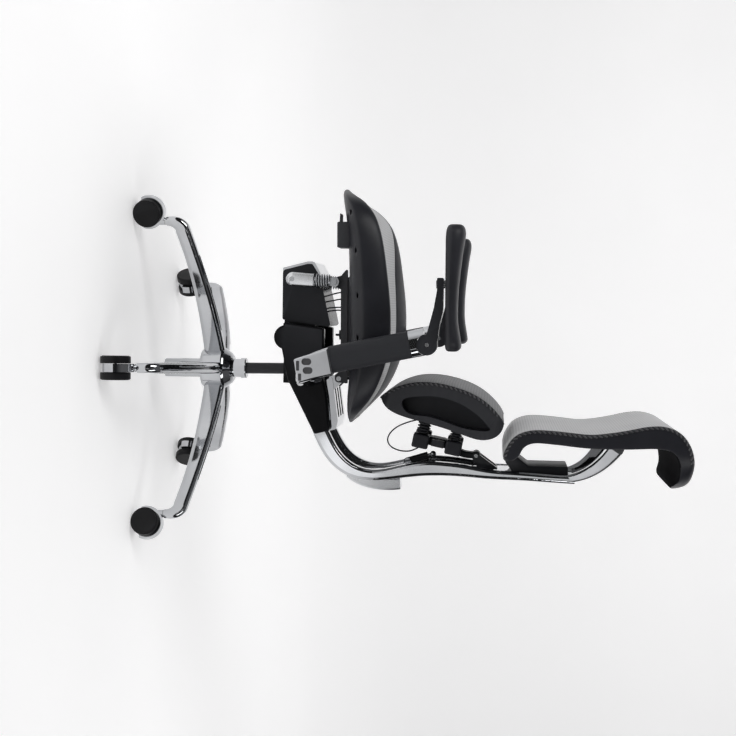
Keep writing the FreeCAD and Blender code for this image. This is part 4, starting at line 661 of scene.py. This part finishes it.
# Seat fabric: reach under the lip, height over it, deepest dip, the lip drop that allows it, thickness
FABRIC_TUCK = 3
FABRIC_RISE = 0.4
FABRIC_DIP = 8
DIP_LIP = 10
FABRIC_THICKNESS = 2.5


def seat_section(y, share, under, rim, inner, lip):
    """Closed ring round the seat's wall and floor."""
    half = SEAT_HALF_WIDTH * share
    edge = rim - lip
    floor = min(under + SEAT_FLOOR, edge - SHALLOWEST_TUB)
    filled = min(1, max(0, (NOSE_START - y) / NOSE_SLOPE))
    floor += filled * max(0, edge - NOSE_DEPTH - floor)
    room = edge - floor
    right = [(half * across, under + (rim - under) * up) for across, up in SEAT_SIDE]
    for way, drop in LIP_SLOPE:
        right.append((half * ((1 - way) * RIM_CREST + way * inner), rim - drop * lip))
    right.append((half * inner - LIP_ROUND, edge - min(LIP_ROUND, LIP_ROUND_SHARE * room)))
    right.append((half * inner, edge - min(LIP_DEPTH, LIP_DEPTH_SHARE * room)))
    for of_lip, of_half, drop in TUB_SIDE:
        right.append((half * (of_lip * inner + of_half), edge - drop * room))
    left = [(-x, z) for x, z in reversed(right[1:-1])]
    return [lifted(x, y, z) for x, z in right + left]


def seat_cuts():
    """Cable opening in the floor and the small notches along both sides."""
    shape = bmesh.new()
    half, front, rear, low, high, corner = CABLE_OPENING
    rounded_block(shape, (-half, front, low), (half, rear, high), corner)
    line = smooth_line(SEAT_SPOTS, steps=40)
    for notch in NOTCHES:
        y, share, under, rim = min(line, key=lambda spot: abs(spot[0] - notch))[:4]
        for sign in (-1, 1):
            x = sign * NOTCH_ACROSS * SEAT_HALF_WIDTH * share
            spot = lifted(x, y, under + NOTCH_UP * (rim - under))
            swell = Matrix.Translation(spot) @ Matrix.Diagonal((*(Vector(NOTCH_SIZE) * MM), 1))
            bmesh.ops.create_uvsphere(shape, u_segments=16, v_segments=8, radius=1, matrix=swell)
    return shape


def seat_shell():
    rows = [seat_section(*spot) for spot in smooth_line(SEAT_SPOTS, steps=4)]
    piece = solid_skin("seat_tub", rows, "seat", "black_plastic")
    carve(piece, seat_cuts())
    dress(piece, MATERIALS["black_plastic"])
    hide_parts("seat_shell")


def seat_runners():
    shape = bmesh.new()
    near, far, front, rear, low, high, edge = SEAT_RUNNER
    for sign in (-1, 1):
        ends = sorted((sign * near, sign * far))
        rounded_block(shape, (ends[0], front, low), (ends[1], rear, high), edge)
    runners = finish_mesh("seat_runners", shape, "seat", "black_plastic")
    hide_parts("seat_shell")


def seat_mesh():
    """Fabric that dips between the lips of the seat's frame."""
    rows = []
    for y, share, _, rim, inner, lip in smooth_line(FABRIC_SPOTS, steps=5):
        half = SEAT_HALF_WIDTH * share * inner + FABRIC_TUCK
        edge = rim - lip + FABRIC_RISE
        dip = FABRIC_DIP * min(1, lip / DIP_LIP)
        row = []
        for across in shares_across(steps=14):
            row.append(lifted(half * across, y, edge - dip * (1 - across ** 2)))
        rows.append(row)
    piece = sheet_skin("seat_fabric", rows, "seat")
    thicken(piece, FABRIC_THICKNESS)
    dress(piece, SEAT_WEAVE)
    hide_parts("seat_mesh")


# Upper back, from the lower curl up over the roll to its tip: front line and inside line
BACK_HALF_WIDTH = 195
BACK_FRONT = ((166, 452), (146, 458), (122, 476), (110, 508), (111, 555), (117, 612), (116, 645), (109, 690),
              (100, 735), (100, 768), (112, 797), (136, 816), (166, 825), (196, 825), (220, 821), (236, 811))
BACK_INSIDE = ((160, 484), (143, 494), (135, 515), (138, 560), (144, 620), (145, 690), (143, 752),
               (149, 777), (167, 787), (190, 787), (211, 781))
BACK_STEPS = 72
# Share of the way up at which the roll starts
ROLL_START = 0.78
# Rounding of the front edges: along the cheeks, at the roll's tip, and how it grows from one to the other
CHEEK_ROUND = 6
TIP_ROUND = 17
ROUND_GROWTH = 1.3
# Most of the frame's depth that its front and inside roundings take, and the inside's share of the front's
FRONT_ROUND_SHARE = 0.46
INSIDE_ROUND_SHARE = 0.3
INSIDE_ROUND = 0.5
# Points across the front and inside faces, as shares of the half width
FACE_SHARES = (0, 0.23, 0.46, 0.69, 0.85)
# Rounded ends of the roll seen from above: width, depth, front and lowest height
ROLL_CORNER = (165, 91, 148, 745)
# Share of the roll's thickness lost towards its ends, all of it from this distance out
ROLL_THINNING = 0.4
THIN_FROM = 160
# Rounded tips: angles of their sections in degrees, and length as a share of half the thickness
TIP_ANGLES = (35, 62, 80)
TIP_LENGTH = 0.55
# Stations over which a tip's direction is taken
TIP_REACH = 3
# Window: half width, front, rear, bottom, top and corner
BACK_WINDOW = (149, 60, 150, 492, 782, 40)
# Height above the floor from which faces that look down get painted shade, and how far down they look
PAINTED_SHADE_HEIGHT = 1085
PAINTED_SHADE_SLOPE = -0.35
# Foot between the frame and the spine: outline, half width and edge
FOOT_SIDE = ((150, 462), (166, 454), (190, 458), (208, 472), (216, 492), (214, 587), (197, 587), (196, 505),
             (180, 484), (150, 486))
FOOT_HALF_WIDTH = 56
FOOT_EDGE = 2
# Upper-back fabric: height over the frame
BACK_FABRIC_RISE = 0.8
# Trim: share of the stations it follows, and where it lies on the edge's rounding, back and inwards
TRIM_END = 0.88
TRIM_BACK = 0.6
TRIM_INWARD = 0.1


def back_stations():
    """Front point, inside point, edge rounding and share of the roll at each step up the upper back."""
    fronts = evenly(smooth_line(BACK_FRONT, steps=8), BACK_STEPS)
    insides = evenly(smooth_line(BACK_INSIDE, steps=8), BACK_STEPS)
    stations = []
    for step, (front, inside) in enumerate(zip(fronts, insides)):
        along_roll = max(0, step / (BACK_STEPS - 1) - ROLL_START) / (1 - ROLL_START)
        rounding = CHEEK_ROUND + (TIP_ROUND - CHEEK_ROUND) * along_roll ** ROUND_GROWTH
        stations.append((front, inside, rounding, along_roll))
    return stations


def back_half(spot):
    """Half width of the upper back at a (y, z) point, less where the roll's ends are rounded."""
    width, depth, front, foot = ROLL_CORNER
    if spot.y < foot or spot.x < front:
        return BACK_HALF_WIDTH
    into = min(1, (spot.x - front) / depth)
    return BACK_HALF_WIDTH - width * (1 - math.sqrt(1 - into ** 2))


def back_outline(depth, rounding):
    """Right half of a section: share of the half width, distance in from it and depth behind the front."""
    outer = min(rounding, FRONT_ROUND_SHARE * depth)
    inner = min(INSIDE_ROUND * rounding, INSIDE_ROUND_SHARE * depth)
    points = [(share, 0, 0) for share in FACE_SHARES]
    for angle in quarter(steps=4):
        points.append((1, outer * (1 - math.sin(angle)), outer * (1 - math.cos(angle))))
    points.append((1, 0, (outer + depth - inner) / 2))
    for angle in quarter(steps=3):
        points.append((1, inner * (1 - math.cos(angle)), depth - inner * (1 - math.sin(angle))))
    points += [(share, 0, depth) for share in reversed(FACE_SHARES)]
    return points


def back_section(front, inside, rounding, along_roll):
    """Closed ring round the frame at one station."""
    across = inside - front
    way = across.normalized()
    right = back_outline(across.length, rounding)
    ring = []
    for sign, points in ((1, right), (-1, list(reversed(right[1:-1])))):
        for share, inset, deep in points:
            x = share * back_half(front + way * deep) - inset
            kept = 1 - ROLL_THINNING * along_roll * min(1, x / THIN_FROM) ** 2
            spot = front + way * (deep * kept)
            ring.append(lifted(sign * x, spot.x, spot.y))
    return ring


def tip_rows(station, neighbour, along_roll):
    """Sections that close the frame with a rounded tip, on from a station and away from its neighbour."""
    front, inside = station[:2]
    heading = ((front - neighbour[0]) + (inside - neighbour[1])).normalized()
    middle = (front + inside) / 2
    half = (front - inside) / 2
    rows = []
    for degrees in TIP_ANGLES:
        angle = math.radians(degrees)
        centre = middle + heading * (TIP_LENGTH * half.length * math.sin(angle))
        reach = half * math.cos(angle)
        rows.append(back_section(centre + reach, centre - reach, TIP_ROUND, along_roll))
    return rows


def paint_roll_shade(piece):
    """Paint shade on the faces under the roll: they get a darker, matte material."""
    for face in piece.data.polygons:
        under_roll = face.center.z > PAINTED_SHADE_HEIGHT * MM and face.normal.z < PAINTED_SHADE_SLOPE
        face.material_index = 1 if under_roll else 0


def back_frame():
    stations = back_stations()
    rows = list(reversed(tip_rows(stations[0], stations[TIP_REACH], along_roll=0)))
    rows += [back_section(*station) for station in stations]
    rows += tip_rows(stations[-1], stations[-1 - TIP_REACH], along_roll=1)
    piece = solid_skin("back_surround", rows, "back", "black_plastic")
    half, front, rear, bottom, top, corner = BACK_WINDOW
    shape = bmesh.new()
    rounded_block(shape, (-half, front, bottom), (half, rear, top), corner, along=1)
    carve(piece, shape)
    # Second material: painted shade on the faces under the roll
    dress(piece, MATERIALS["black_plastic"], PAINTED_ROLL_SHADE)
    paint_roll_shade(piece)
    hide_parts("back_frame")


def back_foot():
    shape = prism(FOOT_SIDE, -FOOT_HALF_WIDTH, FOOT_HALF_WIDTH, FOOT_EDGE)
    foot = finish_mesh("back_foot", shape, "back", "black_plastic")
    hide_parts("back_frame")


def back_mesh():
    """Fabric over the front of the upper back and round the roll to its tip."""
    rows = []
    for front, inside, rounding, _ in back_stations():
        way = (inside - front).normalized()
        edge = back_half(front) - rounding
        spot = front - way * BACK_FABRIC_RISE
        rows.append([lifted(edge * across, spot.x, spot.y) for across in shares_across(steps=16)])
    piece = sheet_skin("back_fabric", rows, "back")
    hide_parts("back_mesh")


# Twisted cord: radius of a strand, its distance from the middle and the length of a turn
STRAND_RADIUS = 1.7
TWIST_RADIUS = 1.6
TWIST_PITCH = 10


def twisted_cord(name, line, body):
    """A pale and a dark strand wound round each other along a line of points; sewn trim on an edge."""
    lengths = lengths_along(line)
    for number, material in enumerate(TRIM):
        spots = []
        for index, spot in enumerate(line):
            out = direction_at(line, index).cross(ACROSS)
            angle = 2 * math.pi * lengths[index] / (TWIST_PITCH * MM) + math.pi * number
            offset = ACROSS * math.cos(angle) + out * math.sin(angle)
            spots.append(spot + offset * (TWIST_RADIUS * MM))
        cord = wire(f"{name}_{number + 1}", spots, STRAND_RADIUS, sides=2, material=material)
        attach(cord, body)


def back_trim():
    """Twisted cord along both front edges of the upper back, as far as the top of the roll."""
    stations = back_stations()[:int(TRIM_END * BACK_STEPS)]
    for side, sign in SIDES:
        spots = []
        for front, inside, rounding, _ in stations:
            spot = front + (inside - front).normalized() * (TRIM_BACK * rounding)
            spots.append((sign * (back_half(front) - TRIM_INWARD * rounding), spot.x, spot.y))
        line = [lifted(*spot) for spot in smooth_line(spots, steps=7)]
        twisted_cord(f"back_trim_{side}", line, "back")


# Lumbar pad, upright about its own middle and then leaned back: place of the middle (y, z) and lean
LUMBAR_PLACE = (75, 332)
LEAN = math.radians(11.6)
LUMBAR_HALF_WIDTH = 152
LUMBAR_CORNER = 24
LUMBAR_TOP = 124
LUMBAR_FOOT = -131
LUMBAR_FRONT = ((0, LUMBAR_TOP), (-16, 108), (-34, 80), (-46, 45), (-51, 0), (-49, -40), (-40, -76),
                (-22, -108), (0, LUMBAR_FOOT))
# Lumbar fabric: swell over its middle, how it levels off towards the edges, height over the shell, margin
LUMBAR_SWELL = 5
SWELL_POWER = 6
LUMBAR_RISE = 0.8
LUMBAR_MARGIN = 1.5
# Lumbar trim: distance in from the pad's edge and behind its front
LUMBAR_TRIM_INWARD = 0.5
LUMBAR_TRIM_BACK = 3
# Rubber posts: (height, start), end, distance to the side, radius of the necks, ribs and a rib's profile
POST_ROWS = ((-36, 33.7), (34, 41))
POST_END = 65.3
POST_OFFSET = 48
POST_NECK = 8.5
POST_RIBS = 5
RIB_PROFILE = ((0.12, 9.0), (0.30, 12.2), (0.5, 13.0), (0.70, 12.2), (0.88, 9.0))


def lumbar_spot(x, y, z):
    """Point of the lumbar pad's own frame in the chair."""
    back, up = LUMBAR_PLACE
    back += y * math.cos(LEAN) + z * math.sin(LEAN)
    up += z * math.cos(LEAN) - y * math.sin(LEAN)
    return lifted(x, back, up)


def lumbar_way(x, y, z):
    """Direction of the lumbar pad's own frame in the chair."""
    return lumbar_spot(x, y, z) - lumbar_spot(0, 0, 0)


def lumbar_end(z):
    """Height of the pad's end on the side of its middle where z lies."""
    return LUMBAR_TOP if z > 0 else LUMBAR_FOOT


def lumbar_half_width(z):
    """Half width of the pad at a height, which the rounded corners narrow at both ends."""
    into = max(0, abs(z) - (abs(lumbar_end(z)) - LUMBAR_CORNER))
    return LUMBAR_HALF_WIDTH - LUMBAR_CORNER + math.sqrt(max(0, LUMBAR_CORNER ** 2 - into ** 2))


def lumbar_mesh():
    """Fabric that swells over the front of the lumbar pad."""
    rows = []
    for y, z in smooth_line(LUMBAR_FRONT, steps=5):
        swell = LUMBAR_SWELL * (1 - (z / lumbar_end(z)) ** 2)
        half = lumbar_half_width(z) - LUMBAR_MARGIN
        row = []
        for across in shares_across(steps=16):
            proud = LUMBAR_RISE + swell * (1 - abs(across) ** SWELL_POWER)
            row.append(lumbar_spot(half * across, y - proud, z))
        rows.append(row)
    piece = sheet_skin("lumbar_fabric", rows, "lumbar_pad")
    dress(piece, LUMBAR_WEAVE)
    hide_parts("lumbar_mesh")


def lumbar_trim():
    """Twisted cord along both front edges of the lumbar pad."""
    line = smooth_line(LUMBAR_FRONT, steps=24)
    for side, sign in SIDES:
        spots = []
        for y, z in line:
            x = sign * (lumbar_half_width(z) - LUMBAR_TRIM_INWARD)
            spots.append(lumbar_spot(x, y + LUMBAR_TRIM_BACK, z))
        twisted_cord(f"lumbar_trim_{side}", spots, "lumbar_pad")


def post_profile(length):
    """(radius, distance) points along a ribbed post."""
    pitch = length / POST_RIBS
    profile = [(POST_NECK, 0)]
    for rib in range(POST_RIBS):
        for share, radius in RIB_PROFILE:
            profile.append((radius, (rib + share) * pitch))
    profile.append((POST_NECK, length))
    return profile


def lumbar_posts():
    """Ribbed rubber posts between the lumbar shell and its carrier."""
    shape = bmesh.new()
    for height, start in POST_ROWS:
        for x in (-POST_OFFSET, POST_OFFSET):
            profile = post_profile(POST_END - start)
            turned(shape, profile, lumbar_spot(x, start, height), lumbar_way(0, 1, 0))
    piece = finish_mesh("lumbar_posts", shape, "lumbar_carrier", "soft_pad")
    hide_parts("lumbar_bellows")
    tuple(lumbar_way(0, 1, 0) * 1000)
    tuple(lumbar_spot(0, POST_END, 0))
    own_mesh(piece)


# Outer ends of the arm brackets: outline, inner and outer distance, edge
BRACKET_SIDE = ((-31, 47.5), (15.5, 55.6), (6, 88), (-2, 124), (-53, 114), (-43, 82))
BRACKET_NEAR = 262
BRACKET_FAR = 293
BRACKET_EDGE = 3
# Pockets in their outer faces: (y, z, width, height, corner), and depth
BRACKET_POCKETS = (
    (-27, 73, 13, 19, 6.2), (-10, 75.5, 13, 19, 6.2), (-19, 56, 19, 6, 1.5), (3, 60, 14, 6, 1.5))
POCKET_DEPTH = 4
# A face this near to the pockets' floor is part of it
FLOOR_MARGIN = 0.1
# Faces that meet at more than this angle, in degrees, meet in a sharp line
SHARP_ANGLE = 10


def bracket_end(side, sign):
    """Square outer end of an arm bracket with two oval pockets over two slots, their floors in a darker
    metal that paints the shade in them.
    """
    shape = prism(BRACKET_SIDE, sign * BRACKET_NEAR, sign * BRACKET_FAR, BRACKET_EDGE)
    piece = finish_mesh(f"arm_bracket_end_{side}", shape, "back", "polished")
    floor = BRACKET_FAR - POCKET_DEPTH
    ends = sorted((sign * floor, sign * (BRACKET_FAR + POCKET_DEPTH)))
    shape = bmesh.new()
    for y, z, width, height, corner in BRACKET_POCKETS:
        low = (ends[0], y - width / 2, z - height / 2)
        high = (ends[1], y + width / 2, z + height / 2)
        rounded_block(shape, low, high, corner, along=0)
    carve(piece, shape)
    # Second material: painted shade on the pockets' floors
    dress(piece, MATERIALS["polished"], POCKET_SHADE)
    for face in piece.data.polygons:
        on_floor = abs(abs(face.center.x) - floor * MM) < FLOOR_MARGIN * MM
        face.material_index = 1 if on_floor else 0
    piece.data.set_sharp_from_angle(angle=math.radians(SHARP_ANGLE))


# Arm pads: (y, width share, underside, top), lowest underside, width and distance to the side
PAD_SPOTS = (
    (-291, 0.45, 349, 367), (-287, 0.72, 343, 374), (-272, 0.95, 339.5, 377.5), (-235, 1.00, 339, 372),
    (-170, 0.94, 338.6, 364.5), (-110, 0.92, 338.6, 363), (-75, 0.97, 338.6, 368), (-58, 0.85, 339, 370),
    (-51, 0.62, 341, 366), (-48, 0.40, 346, 361))
PAD_LOWEST = 338.9
PAD_WIDTH = 88
ARM_OFFSET = 270
# Outside of a pad from the middle of its underside up to its crown: shares of the half width and height
PAD_SIDE = (
    (0, 0), (0.62, 0), (0.86, 0.04), (0.97, 0.18), (1.0, 0.36), (0.985, 0.40), (1.0, 0.44), (0.96, 0.68),
    (0.82, 0.88), (0.55, 0.97), (0.25, 1.0))


def arm_pad(side, sign):
    """Soft pad: flat underside, rounded sides with a seam line, crowned saddle top."""
    rows = []
    for y, share, under, top in smooth_line(PAD_SPOTS, steps=4):
        under = max(under, PAD_LOWEST)
        half = PAD_WIDTH * share / 2
        right = [(half * across, under + (top - under) * up) for across, up in PAD_SIDE]
        left = [(-x, z) for x, z in reversed(right[1:])]
        middle = [(0, top)]
        rows.append([lifted(sign * ARM_OFFSET + x, y, z) for x, z in right + middle + left])
    piece = solid_skin(f"arm_cushion_{side}", rows, f"pad_{side}", "soft_pad")
    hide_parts(f"arm_pad_{side}")


# Front struts: both ends, and distance to the side
STRUT_PIN = Vector((0, -190, 16))
STRUT_EYE = Vector((0, -184, 103))
STRUT_OFFSET = 95
# Springs on them: distances from the pin and the eye, radii of the coil and its wire, turns, steps in a turn
COIL_START = 45.8
COIL_STOP = 10.3
COIL_RADIUS = 13.5
COIL_WIRE = 1.5
COIL_TURNS = 6
TURN_STEPS = 28


def coil_line(sign):
    """Points along the wire of one strut's spring."""
    strut = STRUT_EYE - STRUT_PIN
    heading = strut.normalized()
    behind = heading.cross(ACROSS)
    rise = strut.length - COIL_STOP - COIL_START
    steps = TURN_STEPS * COIL_TURNS
    spots = []
    for step in range(steps + 1):
        angle = 2 * math.pi * step / TURN_STEPS
        centre = STRUT_PIN + heading * (COIL_START + rise * step / steps)
        spot = centre + (ACROSS * math.cos(angle) + behind * math.sin(angle)) * COIL_RADIUS
        spots.append(lifted(sign * (STRUT_OFFSET + spot.x), spot.y, spot.z))
    return spots


def strut_springs():
    for side, sign in SIDES:
        coil = wire(f"strut_coil_{side}", coil_line(sign), COIL_WIRE, sides=4, material=MATERIALS["steel"])
        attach(coil, "struts")
        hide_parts("strut_springs")


# Cables: diameter, sides, distances to the side, and (y, z) points of their routes
CABLE_DIAMETER = 3
CABLE_SIDES = 14
CONTROL_OFFSET = 40
LOOP_OFFSET = 60
CONTROL_ROUTES = (
    ((-152, 70), (-158, 88), (-163, 107), (-164, 125), (-161, 142)),
    ((-142, 72), (-145, 90), (-149, 108), (-149, 126), (-145, 142)),
    ((-129, 75), (-131, 92), (-132, 109), (-130, 126), (-125, 142)),
    ((-122, 77), (-125, 93), (-126, 110), (-123, 126), (-117, 142)))
LUMBAR_ROUTE = ((99, 287), (103, 270), (108, 252), (116, 233), (128, 218), (144, 210), (158, 216),
                (166, 231), (169, 248), (167, 265), (158, 280))


def spline_points(route):
    """Points along the smooth spline that a route guides."""
    curve = bpy.data.curves.new("route", "CURVE")
    curve.dimensions = "3D"
    curve.resolution_u = 8
    spline = curve.splines.new("NURBS")
    spline.points.add(len(route) - 1)
    for point, spot in zip(spline.points, route):
        point.co = (*lifted(*spot), 1)
    spline.order_u = 3
    spline.use_endpoint_u = True
    guide = bpy.data.objects.new("route", curve)
    scene.collection.objects.link(guide)
    data = bpy.data.meshes.new_from_object(guide)
    line = [vertex.co.copy() for vertex in data.vertices]
    bpy.data.meshes.remove(data)
    bpy.data.objects.remove(guide)
    bpy.data.curves.remove(curve)
    return line


def cable(name, route, diameter, body, node):
    """Round cable along a smooth line in an upright plane."""
    line = spline_points(route)
    rows = []
    for index, spot in enumerate(line):
        out = direction_at(line, index).cross(ACROSS)
        rows.append(ring_points(spot, ACROSS, out, diameter / 2, CABLE_SIDES))
    piece = solid_skin(name, rows, body, "cable", levels=0)
    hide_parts(node)
    return piece


def cables():
    for number, route in enumerate(CONTROL_ROUTES, start=1):
        spots = [(CONTROL_OFFSET, y, z) for y, z in route]
        cable(f"control_cable_{number}", spots, CABLE_DIAMETER, "mechanism", "control_cables")
    spots = [(LOOP_OFFSET, y, z) for y, z in LUMBAR_ROUTE]
    loop = cable("lumbar_cable_loop", spots, CABLE_DIAMETER, None, "lumbar_cable")
    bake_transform(loop)


dress_nodes()
point_camera()
studio_sweep()
studio_room()
studio_light()
cables()
seat_shell()
seat_runners()
seat_mesh()
back_frame()
back_foot()
back_mesh()
back_trim()
lumbar_mesh()
lumbar_trim()
lumbar_posts()
for side_name, side_sign in SIDES:
    bracket_end(side_name, side_sign)
    arm_pad(side_name, side_sign)
strut_springs()
